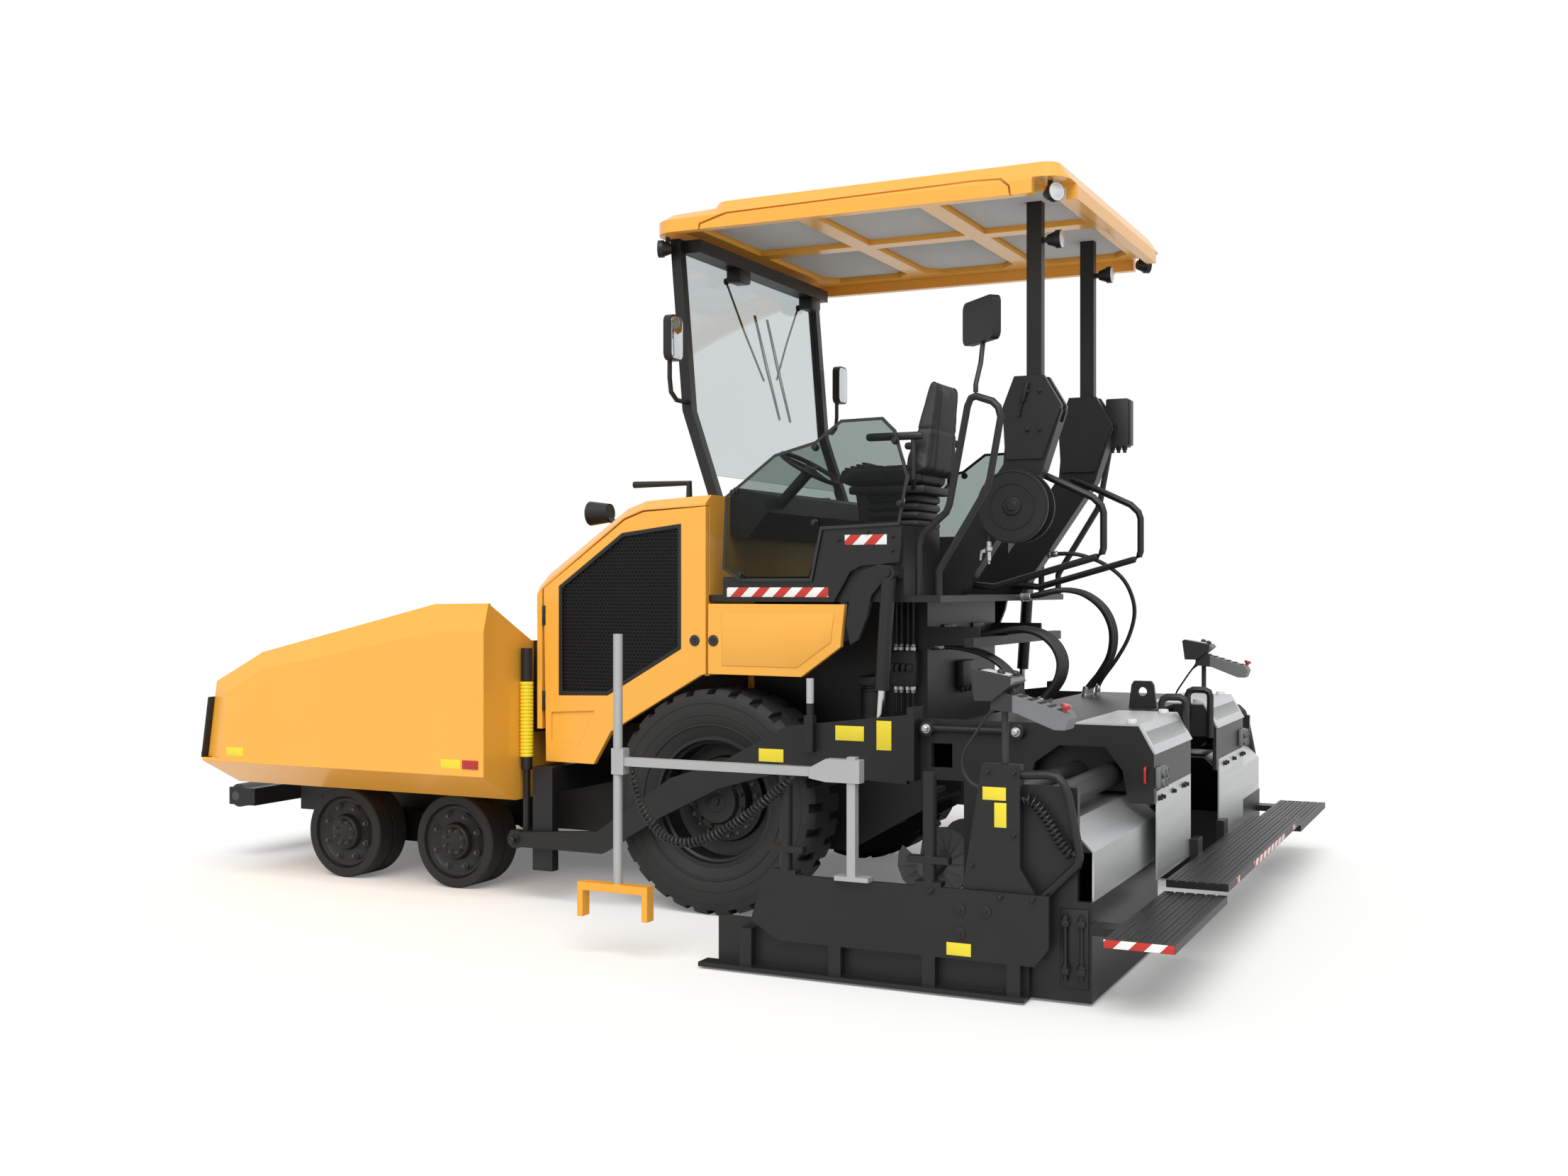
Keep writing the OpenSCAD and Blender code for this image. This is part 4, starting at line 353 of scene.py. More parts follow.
# a turned piece: half its section as (radius, distance along), spun about its axis
def turned(profile, centre, axis, steps=24):
    clearPick()
    bpy.ops.mesh.primitive_circle_add(vertices=len(profile), fill_type="NOTHING")
    piece = bpy.context.object
    for vertex, (radius, along) in zip(piece.data.vertices, profile):
        vertex.co = (radius / 1000, 0, along / 1000)
    bpy.ops.object.mode_set(mode="EDIT")
    bpy.ops.mesh.select_all(action="SELECT")
    bpy.ops.mesh.spin(steps=steps, angle=2 * math.pi, center=(0, 0, 0), axis=(0, 0, 1))
    bpy.ops.mesh.select_all(action="SELECT")
    bpy.ops.mesh.remove_doubles(threshold=0.00001)
    bpy.ops.mesh.normals_make_consistent(inside=False)
    bpy.ops.object.mode_set(mode="OBJECT")
    piece.matrix_world = Matrix.Translation(centre) @ turnTo(axis)
    return piece


# section of a raised ring: half its width at the foot and the crest, and how far it sinks in and stands out
def ringShape(radius, foot, crest, sunk, rise):
    return [(radius - foot, -sunk), (radius - crest, rise), (radius + crest, rise), (radius + foot, -sunk)]


def tubeAlong(points, diameter, sections=3):
    line = bpy.data.curves.new("run", "CURVE")
    line.dimensions = "3D"
    line.bevel_depth = diameter / 2000
    line.bevel_resolution = sections
    line.use_fill_caps = True
    spline = line.splines.new("POLY")
    spline.points.add(len(points) - 1)
    for knot, spot in zip(spline.points, points):
        knot.co = (*spot, 1)
    tube = bpy.data.objects.new("run", line)
    bpy.context.collection.objects.link(tube)
    pick(tube)
    bpy.ops.object.convert(target="MESH")
    return bpy.context.object


# evenly spaced points of one smooth curve through the knots
def smoothRun(knots, count):
    ends = [2 * knots[0] - knots[1]] + knots + [2 * knots[-1] - knots[-2]]
    fine = []
    for a, b, c, d in zip(ends, ends[1:], ends[2:], ends[3:]):
        for t in [step / 40 for step in range(40)]:
            bend = (2 * a - 5 * b + 4 * c - d) * t * t
            fine.append(0.5 * (2 * b + (c - a) * t + bend + (3 * b - a - 3 * c + d) * t ** 3))
    fine.append(knots[-1])
    gone = [0]
    for a, b in zip(fine, fine[1:]):
        gone.append(gone[-1] + (b - a).length)
    spots, at = [], 0
    for step in range(count):
        goal = gone[-1] * step / (count - 1)
        while at < len(fine) - 2 and gone[at + 1] < goal:
            at += 1
        share = (goal - gone[at]) / max(gone[at + 1] - gone[at], 1e-9)
        spots.append(fine[at].lerp(fine[at + 1], min(share, 1)))
    return spots


# turns a wound cord round a smooth middle line, with a straight lead at each end
def coilRun(knots, radius, turns, lead=0.06):
    perTurn = 14
    count = turns * perTurn
    middle = smoothRun(knots, count + 1)
    side = (middle[1] - middle[0]).orthogonal().normalized()
    spots = []
    for step, centre in enumerate(middle):
        along = (middle[min(step + 1, count)] - middle[max(step - 1, 0)]).normalized()
        side = (side - along * side.dot(along)).normalized()
        angle = 2 * math.pi * step / perTurn
        reach = min(1, step / (lead * count), (count - step) / (lead * count)) * radius / 1000
        spots.append(centre + reach * (math.cos(angle) * side + math.sin(angle) * along.cross(side)))
    return spots


def joined(pieces):
    clearPick()
    for piece in pieces:
        piece.select_set(True)
    bpy.context.view_layer.objects.active = pieces[0]
    bpy.ops.object.join()
    return bpy.context.object


# copies of a model piece, each with its own mesh, its +z turned to the axis, joined into one set
def copiesAt(model, spots, axis):
    made = []
    for spot in spots:
        twin = model.copy()
        twin.data = model.data.copy()
        twin.matrix_world = Matrix.Translation(spot) @ turnTo(axis)
        bpy.context.collection.objects.link(twin)
        made.append(twin)
    return joined(made)


def settled(piece, name, finish):
    pick(piece)
    bpy.ops.object.transform_apply(location=True, rotation=True, scale=True)
    bpy.ops.object.shade_smooth_by_angle(angle=math.radians(35))
    piece.name = piece.data.name = name
    piece.data.materials.clear()
    piece.data.materials.append(finish)
    return piece


def finishPiece(piece, name, body, finish):
    settled(piece, name, finish)
    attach(piece, body)
    return piece


# the camera comes first, because the cords are judged by what it sees
studio = {
    "camera": (-4.518, 8.685, 1.737), "yaw": 205.5, "lens": 36.86, "sensor": 36, "farthest": 400,
    "floorSize": 160, "floorDrop": 0.001, "floorTone": "#F4F4F2", "floorLift": 0.16, "white": "#FFFFFF",
    "worldLight": 0.4, "lampPower": 2.45, "lampSpread": 50, "lampTurn": (42, 0, 200),
}
clearPick()
bpy.ops.object.camera_add(location=studio["camera"],
                          rotation=(math.radians(90), 0, math.radians(studio["yaw"])))
camera = bpy.context.object
camera.data.sensor_width = studio["sensor"]
camera.data.lens = studio["lens"]
camera.data.clip_end = studio["farthest"]
bpy.context.scene.camera = camera

# hydraulic hoses between the tractor and the screed, which the lift bends; each hose's fittings ride on the
# tractor and the screed, and the hose itself on neither
hoseSets = {
    "deckHose": {"diameter": 30, "count": 3, "step": -52, "route": [
        (-1270, -228, 1682), (-1330, -228, 1690), (-1400, -236, 1708), (-1500, -275, 1726),
        (-1600, -365, 1700), (-1675, -485, 1615), (-1702, -590, 1490), (-1672, -672, 1350),
        (-1600, -718, 1235), (-1540, -736, 1165), (-1512, -740, 1120), (-1508, -740, 1090)]},
    "supportHose": {"diameter": 24, "count": 1, "step": 0, "route": [
        (-1346, -530, 1930), (-1420, -524, 1938), (-1537, -530, 1930), (-1660, -640, 1872),
        (-1747, -760, 1770), (-1782, -840, 1612), (-1740, -880, 1450), (-1661, -893, 1310),
        (-1580, -897, 1200), (-1548, -898, 1140), (-1543, -898, 1090)]},
    "screedHose": {"diameter": 34, "count": 4, "step": 44, "route": [
        (-1000, 180, 1500), (-1070, 180, 1497), (-1150, 180, 1486), (-1235, 180, 1485), (-1315, 180, 1498),
        (-1420, 180, 1514), (-1530, 180, 1492), (-1610, 180, 1430), (-1648, 180, 1345), (-1636, 180, 1255),
        (-1590, 180, 1180), (-1552, 180, 1135), (-1540, 180, 1090)]},
    "dropHose": {"diameter": 26, "count": 3, "step": -46, "route": [
        (-1000, 470, 1420), (-1075, 470, 1419), (-1160, 470, 1410), (-1250, 470, 1388), (-1340, 470, 1345),
        (-1412, 470, 1282), (-1455, 470, 1212), (-1474, 470, 1145), (-1478, 470, 1090)]},
}
# crimped end of a hose: radius in shares of the hose's own, and distance along
crimp = [(0, 0), (1.62, 0), (1.62, 14), (1.3, 16), (1.3, 22), (1.42, 24), (1.42, 56), (1.2, 60), (0, 60)]
for name, hose in hoseSets.items():
    for number in range(hose["count"]):
        shift = hose["step"] * number
        run = smoothRun([place(x, y + shift, z) for x, y, z in hose["route"]], 38)
        tube = settled(tubeAlong(run, hose["diameter"], 4), f"{name}{number + 1}", hoseRubber)
        profile = [(r * hose["diameter"] / 2, a) for r, a in crimp]
        ends = []
        hoseEnds = (("Top", "tractor", run[0], run[1]), ("Foot", "screed", run[-1], run[-2]))
        for end, body, start, away in hoseEnds:
            fitting = turned(profile, start, away - start, 12)
            ends.append(finishPiece(fitting, f"{name}{end}{number + 1}", body, zincPlate))
        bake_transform(tube)

# cords that stay on one body: wound leads at the towers and sensor arms, and the consoles' cables
leadSets = {
    "towerLead": {"body": "extender", "diameter": 11, "coil": 22, "turns": 16, "stiffness": "limp", "route": [
        (-2009, 2160, 850), (-2060, 2160, 838), (-2120, 2160, 770), (-2170, 2160, 690), (-2210, 2160, 640),
        (-2240, 2160, 628)]},
    "sensorLead": {"body": "end_gate", "diameter": 11, "coil": 19, "turns": 52, "stiffness": "limp",
                   "route": [
        (-150, 2235, 907), (-165, 2235, 840), (-225, 2235, 690), (-330, 2235, 590), (-450, 2235, 570),
        (-600, 2235, 620), (-760, 2235, 720), (-900, 2235, 830), (-965, 2235, 880), (-985, 2235, 907)]},
    "consoleCable": {"body": "extender", "diameter": 12, "coil": 0, "turns": 0, "stiffness": "limp",
                     "route": [
        (-1890, 2160, 1228), (-1862, 2160, 1200), (-1800, 2160, 1110), (-1752, 2160, 1030),
        (-1748, 2160, 960), (-1786, 2160, 905), (-1824, 2160, 888)]},
}
cuff = [(0, 0), (1.9, 0), (1.9, 12), (1.5, 15), (1.25, 34), (0, 34)]
for name, lead in leadSets.items():
    for side, sign in sides.items():
        knots = [place(x, y * sign, z) for x, y, z in lead["route"]]
        run = coilRun(knots, lead["coil"], lead["turns"]) if lead["coil"] else smoothRun(knots, 30)
        tube = tubeAlong(run, lead["diameter"], 1 if lead["coil"] else 3)
        settled(tube, f"{name}_{side}", hoseRubber)
        profile = [(r * lead["diameter"] / 2, a) for r, a in cuff]
        ends = [turned(profile, run[0], knots[1] - knots[0], 12),
                turned(profile, run[-1], knots[-2] - knots[-1], 12)]
        cuffs = finishPiece(joined(ends), f"{name}Cuffs_{side}", f"{lead['body']}_{side}", darkPlastic)
        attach(tube, f"{lead['body']}_{side}")

# the cleaning hose wound on its reel, its spray nozzle hanging below, and rings on the reel's face
reel = {"x": -1519, "z": 2157, "inY": 628, "faceY": 735, "drum": 122, "diameter": 22, "turns": 3, "pitch": 24,
        "perTurn": 24, "tail": [(1, 4, -40), (0, 12, -110), (-2, 16, -180)], "rings": (180, 118),
        "cap": [(0, 16), (22, 16), (26, 12), (44, 10), (48, 6), (48, -1), (0, -1)]}
nozzleShape = [(0, 0), (14, 0), (14, 24), (19, 28), (19, 48), (12, 54), (12, 98), (7, 103), (7, 116),
               (0, 116)]
trigger = {"outline": [(16, -36), (44, -44), (52, -96), (40, -98), (34, -60), (14, -56)], "width": 12}
winding = reel["drum"] + reel["diameter"] / 2 + 1
run = []
for step in range(reel["turns"] * reel["perTurn"] + 1):
    angle = 2 * math.pi * step / reel["perTurn"]
    y = reel["inY"] + reel["pitch"] * step / reel["perTurn"]
    run.append(place(reel["x"] + winding * math.cos(angle), y, reel["z"] - winding * math.sin(angle)))
endY = reel["inY"] + reel["pitch"] * reel["turns"]
tail = [place(reel["x"] + winding + dx, endY + dy, reel["z"] + dz) for dx, dy, dz in reel["tail"]]
run += smoothRun([run[-1]] + tail, 10)[1:]
tube = settled(tubeAlong(run, reel["diameter"], 3), "reelHose", hoseRubber)
lever = [run[-1] + Vector((x, -trigger["width"] / 2, z)) / 1000 for x, z in trigger["outline"]]
nozzleParts = [turned(nozzleShape, run[-1], run[-1] - run[-2], 16),
               plateFrom(lever, (0, trigger["width"], 0), 3)]
nozzle = finishPiece(joined(nozzleParts), "reelNozzle", "tractor", zincPlate)
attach(tube, "tractor")
hub = place(reel["x"], reel["faceY"], reel["z"])
rings = [turned(ringShape(r, 5, 3, 1, 4), hub, (0, 1, 0), 64) for r in reel["rings"]]
rings.append(turned(reel["cap"], hub, (0, 1, 0), 32))
finishPiece(joined(rings), "reelFace", "tractor", blackPowderCoat)
print("cords laid")

# bolt heads in shares of their width: a hexagon with a domed top on a washer, or a rounder head for the glass
boltShares = {"height": 0.9, "inset": 0.12, "dome": 0.1,
              "washer": [(0, 0), (0.68, 0), (0.72, 0.04), (0.68, 0.14), (0, 0.14)]}


def boltHead(width, sidesRound):
    size = width / 1000
    height = size * boltShares["height"]
    clearPick()
    bpy.ops.mesh.primitive_cylinder_add(vertices=sidesRound, radius=size / 2, depth=height,
                                        location=(0, 0, height / 2))
    head = bpy.context.object
    bpy.ops.object.transform_apply(location=True, rotation=True, scale=True)
    pickFaces(head, facesUp)
    bpy.ops.mesh.inset(thickness=size * boltShares["inset"])
    bpy.ops.transform.translate(value=(0, 0, size * boltShares["dome"]))
    bpy.ops.object.mode_set(mode="OBJECT")
    profile = [(width * r, width * a) for r, a in boltShares["washer"]]
    return joined([head, turned(profile, Vector((0, 0, 0)), (0, 0, 1), 12)])


def boltSet(name, body, width, spots, axis, finish, sidesRound=6):
    model = boltHead(width, sidesRound)
    bolts = copiesAt(model, spots, axis)
    bpy.data.objects.remove(model)
    return finishPiece(bolts, name, body, finish)


# bolts on a circle about an axle, on the wheel's outer side
def boltRing(name, body, sign, hub, x, ring, finish):
    turns = [2 * math.pi * (i + 0.5) / ring["count"] for i in range(ring["count"])]
    spots = [place(x + ring["radius"] * math.cos(t), sign * (hub["y"] + ring["out"]),
                   hub["z"] + ring["radius"] * math.sin(t)) for t in turns]
    boltSet(name, body, ring["width"], spots, (0, sign, 0), finish)


driveHub = {"y": 1000, "z": 600, "studs": {"radius": 196, "out": 11, "count": 20, "width": 26},
            "capBolts": {"radius": 144, "out": 86, "count": 12, "width": 20}, "plugY": 1115,
            "plug": [(0, 18), (24, 18), (27, 8), (48, 6), (60, 0), (0, 0)],
            "wallRibs": [(470, 1185), (530, 1185), (412, 1176)]}
bogieHub = {"y": 995, "z": 270, "x": {"front": 2520, "rear": 1710},
            "outer": {"radius": 152, "out": 94.8, "count": 8, "width": 26},
            "inner": {"radius": 66, "out": 125.8, "count": 8, "width": 18},
            "disc": [(0, 128), (60, 128), (66, 125.3), (97, 125.3), (109, 95), (186, 95), (200, 99),
                     (207, 108), (207, 94.2), (108, 94.2), (96, 124.8), (0, 124.8)]}
for side, sign in sides.items():
    body, outward = f"drive_wheel_{side}", (0, sign, 0)
    boltRing(f"driveStuds_{side}", body, sign, driveHub, 0, driveHub["studs"], castIron)
    boltRing(f"driveCapBolts_{side}", body, sign, driveHub, 0, driveHub["capBolts"], blackPowderCoat)
    plug = turned(driveHub["plug"], place(0, sign * driveHub["plugY"], driveHub["z"]), outward, 32)
    finishPiece(plug, f"driveHubPlug_{side}", body, blackPowderCoat)
    # moulded ribs on the tyre's wall
    ribs = [turned(ringShape(r, 7, 4, 3, 2.5), place(0, sign * y, driveHub["z"]), outward, 96)
            for r, y in driveHub["wallRibs"]]
    finishPiece(joined(ribs), f"tyreWallRibs_{side}", body, tyreRubber)
    for end, x in bogieHub["x"].items():
        body = f"wheel_{end}_{side}"
        disc = turned(bogieHub["disc"], place(x, sign * bogieHub["y"], bogieHub["z"]), outward, 48)
        finishPiece(disc, f"bogieDisc_{end}_{side}", body, blackPowderCoat)
        for part in ("outer", "inner"):
            boltRing(f"bogieBolts_{part}_{end}_{side}", body, sign, bogieHub, x, bogieHub[part], castIron)
print("wheels dressed")

# honeycomb screens in the engine doors, with rim and a near-black sheet behind that is painted shade; a cell
# is sized by its corners' radius
grille = {"outline": [(965, 1747), (556, 2037), (187, 2082), (187, 1410), (647, 1148), (965, 1140)],
          "cell": 13, "wall": 1.6, "faceY": 1150, "depth": 8, "backY": 1135.4, "backThick": 1.6,
          "rim": 22, "rimY": 1150, "rimThick": 12, "rimEdge": 2.5}


def insideOutline(x, z, outline):
    inside = False
    for (xa, za), (xb, zb) in zip(outline, outline[1:] + outline[:1]):
        if (za > z) != (zb > z) and x < (xb - xa) * (z - za) / (zb - za) + xa:
            inside = not inside
    return inside


def outsideGrille(face):
    return not insideOutline(face.center.x * 1000 + machine["axle"], face.center.z * 1000, grille["outline"])


def repeated(piece, count, step):
    applied(piece, "ARRAY", {"count": count, "use_relative_offset": False, "use_constant_offset": True,
                             "constant_offset_displace": Vector(step) / 1000})


def honeycomb(sign):
    xs, zs = [p[0] for p in grille["outline"]], [p[1] for p in grille["outline"]]
    cell = grille["cell"]
    across = math.sqrt(3) * cell
    pair = []
    for dx, dz in ((0, 0), (across / 2, 1.5 * cell)):
        hexagon = [(min(xs) + dx + cell * math.sin(t), min(zs) + dz + cell * math.cos(t))
                   for t in [math.pi * k / 3 for k in range(6)]]
        clearPick()
        bpy.ops.mesh.primitive_circle_add(vertices=6, fill_type="NGON")
        for vertex, spot in zip(bpy.context.object.data.vertices, atY(sign * grille["faceY"], hexagon)):
            vertex.co = spot
        pair.append(bpy.context.object)
    screen = joined(pair)
    repeated(screen, int((max(xs) - min(xs)) / across) + 2, (across, 0, 0))
    repeated(screen, int((max(zs) - min(zs)) / (3 * cell)) + 2, (0, 0, 3 * cell))
    pickFaces(screen, outsideGrille)
    bpy.ops.mesh.delete(type="FACE")
    bpy.ops.mesh.select_all(action="SELECT")
    bpy.ops.mesh.inset(thickness=grille["wall"] / 1000, use_individual=True)
    bpy.ops.mesh.delete(type="FACE")
    bpy.ops.mesh.select_all(action="SELECT")
    bpy.ops.mesh.remove_doubles(threshold=0.00005)
    bpy.ops.mesh.normals_make_consistent(inside=False)
    bpy.ops.object.mode_set(mode="OBJECT")
    applied(screen, "SOLIDIFY", {"thickness": grille["depth"] / 1000, "offset": 0})
    return screen


hinge = {"x": 1064, "y": 1157, "zs": (1053, 1529), "shape": [
    (0, 0), (11, 0), (12, 2), (12, 52), (10, 54), (10, 57), (12, 59), (12, 108), (11, 110), (0, 110)]}
latch = {"spots": {"engine_door": (104, 1457), "service_panel": (-9, 1458)}, "y": 1160, "slotY": (1160, 1168),
         "shape": [(0, 3), (12, 3), (13, 6), (26, 6), (30, 3), (30, 0), (0, 0)]}
pressed = {"y": 1159.6, "rise": 4, "edge": 3,
           "outline": [(-60, 1326), (-500, 1324), (-690, 1458), (-708, 1606), (-60, 1606)]}
for side, sign in sides.items():
    body = f"engine_door_{side}"
    finishPiece(honeycomb(sign), f"grilleScreen_{side}", body, screenMesh)
    # a near-black sheet behind the screen: painted shade standing in for the shadow inside the engine bay
    back = sidePlate(sign, grille["backY"], grille["outline"], grille["backThick"])
    finishPiece(back, f"grilleShadeSheet_{side}", body, screenMesh)
    rim = sidePlate(sign, grille["rimY"], grille["outline"], grille["rimThick"], grille["rimEdge"],
                    grille["rim"])
    finishPiece(rim, f"grilleRim_{side}", body, blackPowderCoat)
    barrels = [turned(hinge["shape"], place(hinge["x"], sign * hinge["y"], z), (0, 0, 1), 20)
               for z in hinge["zs"]]
    finishPiece(joined(barrels), f"doorHinges_{side}", body, blackPowderCoat)
    for panel, (x, z) in latch["spots"].items():
        knob = turned(latch["shape"], place(x, sign * latch["y"], z), (0, sign, 0), 32)
        slotBar = boxFrom((x - 3, x + 3), stretch(sign, *latch["slotY"]), (z - 12, z + 12), 1)
        finishPiece(joined([knob, slotBar]), f"{panel}Latch_{side}", f"{panel}_{side}", darkPlastic)
    press = sidePlate(sign, pressed["y"], pressed["outline"], pressed["rise"], pressed["edge"])
    finishPiece(press, f"panelPress_{side}", f"service_panel_{side}", yellowEnamel)
print("engine doors dressed")

# red and white tape on the platform's skirts and the walkways' ends, and along the walkway between them
tapeFoil = {"thick": 1.4, "edge": 0.5}
bands = {
    "skirtTape": {"body": "tractor", "y": 1150, "x": (-671, -85), "z": (1690, 1740)},
    "upperTape": {"body": "tractor", "y": 1150, "x": (-994, -763), "z": (1957, 2008)},
    "walkEndTape": {"body": "extender", "y": 2335, "x": (-2684, -2401), "z": (297, 331)},
}
centreTape = {"x": -2685, "z": (347, 377), "ys": ((-960, -880), (-560, 470), (880, 960))}
for side, sign in sides.items():
    for name, tape in bands.items():
        strip = sidePlate(sign, tape["y"], corners(tape["x"], tape["z"]), tapeFoil["thick"], tapeFoil["edge"])
        finishPiece(strip, f"{name}_{side}", bodyOn(tape["body"], side), bandTape)
strips = [plateFrom([place(centreTape["x"], y, z) for y, z in corners(ys, centreTape["z"])],
                    (-tapeFoil["thick"], 0, 0), tapeFoil["edge"]) for ys in centreTape["ys"]]
finishPiece(joined(strips), "centreTape", "screed", bandTape)

# blank plates where the real machine carries its notices: body, plane, and ranges along and up
blankFoil = {"thick": 1.2, "edge": 0.4}
blanks = {
    "towerPlateTop": ("extender", 2189.7, (-1949, -1846), (842, 897)),
    "towerPlateLow": ("extender", 2189.7, (-1951, -1898), (728, 832)),
    "gatePlate": ("end_gate", 2215, (-1803, -1694), (176, 230)),
    "armPlateLong": ("screed", 1285, (-925, -770), (972, 1046)),
    "armPlateTall": ("screed", 1285, (-1072, -993), (932, 1078)),
    "armPlateFront": ("screed", 1285, (-480, -340), (846, 912)),
    "guidePlate": ("tractor", 1232, (968, 1050), (332, 384)),
    "wingPlateFront": ("hopper_wing", 1550, (2905, 3035), (750, 800)),
    "wingPlateRear": ("hopper_wing", 1550, (1345, 1475), (750, 800)),
}
for side, sign in sides.items():
    for name, (body, y, xs, zs) in blanks.items():
        plate = sidePlate(sign, y, corners(xs, zs), blankFoil["thick"], blankFoil["edge"])
        finishPiece(plate, f"{name}_{side}", bodyOn(body, side), plateFoil)
print("tapes and plates on")

# side glass: printed black edge and its fixing bolts, and the bolts and plugs of the plates around
sideGlass = {"y": 1160, "band": 16, "print": 0.8, "outline": [
    (-62, 1837), (-167, 1771), (-583, 1771), (-641, 2037), (-1068, 2053), (-1115, 2298), (-1045, 2532),
    (-975, 2601), (-745, 2597), (-599, 2492), (-368, 2433), (-79, 2222)]}
boltRows = {
    "glassBolts": {"body": "tractor", "width": 30, "y": 1160, "sidesRound": 12, "spots": [
        (-606, 2460), (-1045, 2478), (-1072, 2160), (-600, 2073), (-134, 2240), (-175, 1806)]},
    "skirtBolts": {"body": "tractor", "width": 16, "y": 1150, "spots": [
        (-731, 1985), (-1025, 1998), (-1025, 1927), (-891, 2020)]},
    "cheekBolts": {"body": "tractor", "width": 19, "y": 599, "spots": [
        (-1625, 2560), (-1560, 2560), (-1625, 2760), (-1560, 2760)]},
    "gateBolts": {"body": "end_gate", "width": 20, "y": 2215, "spots": [
        (-1624, 441), (-1932, 441), (-2073, 441)]},
    "towerBolts": {"body": "extender", "width": 18, "y": 2189.7, "spots": [
        (-1985, 700), (-1985, 960), (-1870, 960), (-1800, 560)]},
    "linkBolts": {"body": "screed", "width": 34, "y": 1250, "finish": zincPlate, "spots": [
        (-1242, 1045), (-1700, 1045)]},
    "towPinBolt": {"body": "screed", "width": 40, "y": 1285, "spots": [(1171, 341)]},
}
hangerBolts = {"x": -2358, "z": 752, "width": 20, "ys": (1131, 1067, 825, 595, 529)}
gatePlugs = {"y": 2190, "spots": [(-1752.4, 370.1), (-1866.6, 371.6), (-1752.4, 270.3)], "shape": [
    (0, 0), (22, 0), (22, 25), (27, 26), (27, 29), (20, 31), (9, 31), (8, 37), (0, 38)]}
for side, sign in sides.items():
    edge = sidePlate(sign, sideGlass["y"], sideGlass["outline"], sideGlass["print"], 0, sideGlass["band"])
    finishPiece(edge, f"glassEdge_{side}", "tractor", darkPlastic)
    for name, row in boltRows.items():
        boltSet(f"{name}_{side}", bodyOn(row["body"], side), row["width"], atY(sign * row["y"], row["spots"]),
                (0, sign, 0), row.get("finish", blackPowderCoat), row.get("sidesRound", 6))
    spots = [place(hangerBolts["x"], sign * y, hangerBolts["z"]) for y in hangerBolts["ys"]]
    boltSet(f"hangerBolts_{side}", "screed", hangerBolts["width"], spots, (-1, 0, 0), blackPowderCoat)
    plugs = [turned(gatePlugs["shape"], spot, (0, sign, 0), 24)
             for spot in atY(sign * gatePlugs["y"], gatePlugs["spots"])]
    finishPiece(joined(plugs), f"gatePlugs_{side}", f"end_gate_{side}", blackPowderCoat)
print("bolts set")

# lamps: ribbed lens in a bright ring for each pod, at its place and turned by degrees from straight ahead
lens = {"spots": [(-1806.5, 985, 3682.6, 145), (392.5, 985, 3605.3, 20), (-1694.3, 530, 3553, 180)],
        "out": 0.03, "shape": [(0, 7), (14, 6.4), (15, 5.6), (28, 4.6), (29, 3.8), (40, 1.6), (45, 1.6),
                               (46, 0), (46, -6), (0, -6)]}
hoodLens = {"x": 1059.2, "y": 678.9, "z": 2173.3, "shape": [
    (0, 9), (24, 8), (25, 7), (46, 5), (47, 4), (62, 1), (69, 1), (70, 0), (70, -6), (0, -6)]}
for side, sign in sides.items():
    lenses = []
    for x, y, z, turnBy in lens["spots"]:
        aim = Vector((math.cos(math.radians(turnBy)), sign * math.sin(math.radians(turnBy)), 0))
        lenses.append(turned(lens["shape"], place(x, sign * y, z) + aim * lens["out"], aim, 28))
    finishPiece(joined(lenses), f"lampLenses_{side}", "tractor", lampLens)
    spot = place(hoodLens["x"], sign * hoodLens["y"], hoodLens["z"])
    finishPiece(turned(hoodLens["shape"], spot, (1, 0, 0), 32), f"hoodLens_{side}", "tractor", lampLens)

# mirror glass with round corners on each head's face
mirror = {"corner": 30, "thick": 2.2, "edge": 0.8, "frontX": 232, "frontY": 1125, "z": 3085,
          "front": (122, 227), "rearX": -1441, "rearY": 930, "rear": (322, 202), "rearTurn": 45}


def mirrorFace(centre, facing, size):
    across = Vector((-facing.y, facing.x, 0))
    bend = mirror["corner"]
    halfWide, halfHigh = size[0] / 2 - bend, size[1] / 2 - bend
    spots = []
    for sx, sz, start in ((1, 1, 0), (-1, 1, 90), (-1, -1, 180), (1, -1, 270)):
        for angle in [math.radians(start + 22.5 * step) for step in range(5)]:
            spots.append(centre + across * (sx * halfWide + bend * math.cos(angle)) / 1000
                         + Vector((0, 0, (sz * halfHigh + bend * math.sin(angle)) / 1000)))
    return plateFrom(spots, facing * mirror["thick"], mirror["edge"])


for side, sign in sides.items():
    centre = place(mirror["frontX"], sign * mirror["frontY"], mirror["z"])
    face = mirrorFace(centre, Vector((-1, 0, 0)), mirror["front"])
    finishPiece(face, f"mirrorGlass_{side}", "tractor", mirrorGlass)
turn = math.radians(mirror["rearTurn"])
facing = Vector((-math.cos(turn), -math.sin(turn), 0))
face = mirrorFace(place(mirror["rearX"], mirror["rearY"], mirror["z"]), facing, mirror["rear"])
finishPiece(face, "rearMirrorGlass", "tractor", mirrorGlass)
print("lamps and mirrors glazed")

# felt lining in the roof's bays
lining = {"x0": -1735, "step": 700, "length": 590, "y": (55, 925), "cut": 90, "z": 3768.6, "thick": 14,
          "gap": 8, "bays": 3, "edge": 4}
for side, sign in sides.items():
    for bay in range(lining["bays"]):
        start, gap, cut = lining["x0"] + bay * lining["step"], lining["gap"], lining["cut"]
        x0, x1 = start + gap, start + lining["length"] - gap
        y0, y1 = lining["y"][0] + gap, lining["y"][1] - gap
        outline = ((x0, y0), (x1, y0), (x1, y1 - cut), (x1 - cut, y1), (x0 + cut, y1), (x0, y1 - cut))
        felt = plateFrom([place(x, sign * y, lining["z"]) for x, y in outline],
                         (0, 0, -lining["thick"]), lining["edge"])
        finishPiece(felt, f"roofLining{bay + 1}_{side}", "tractor", greyFelt)

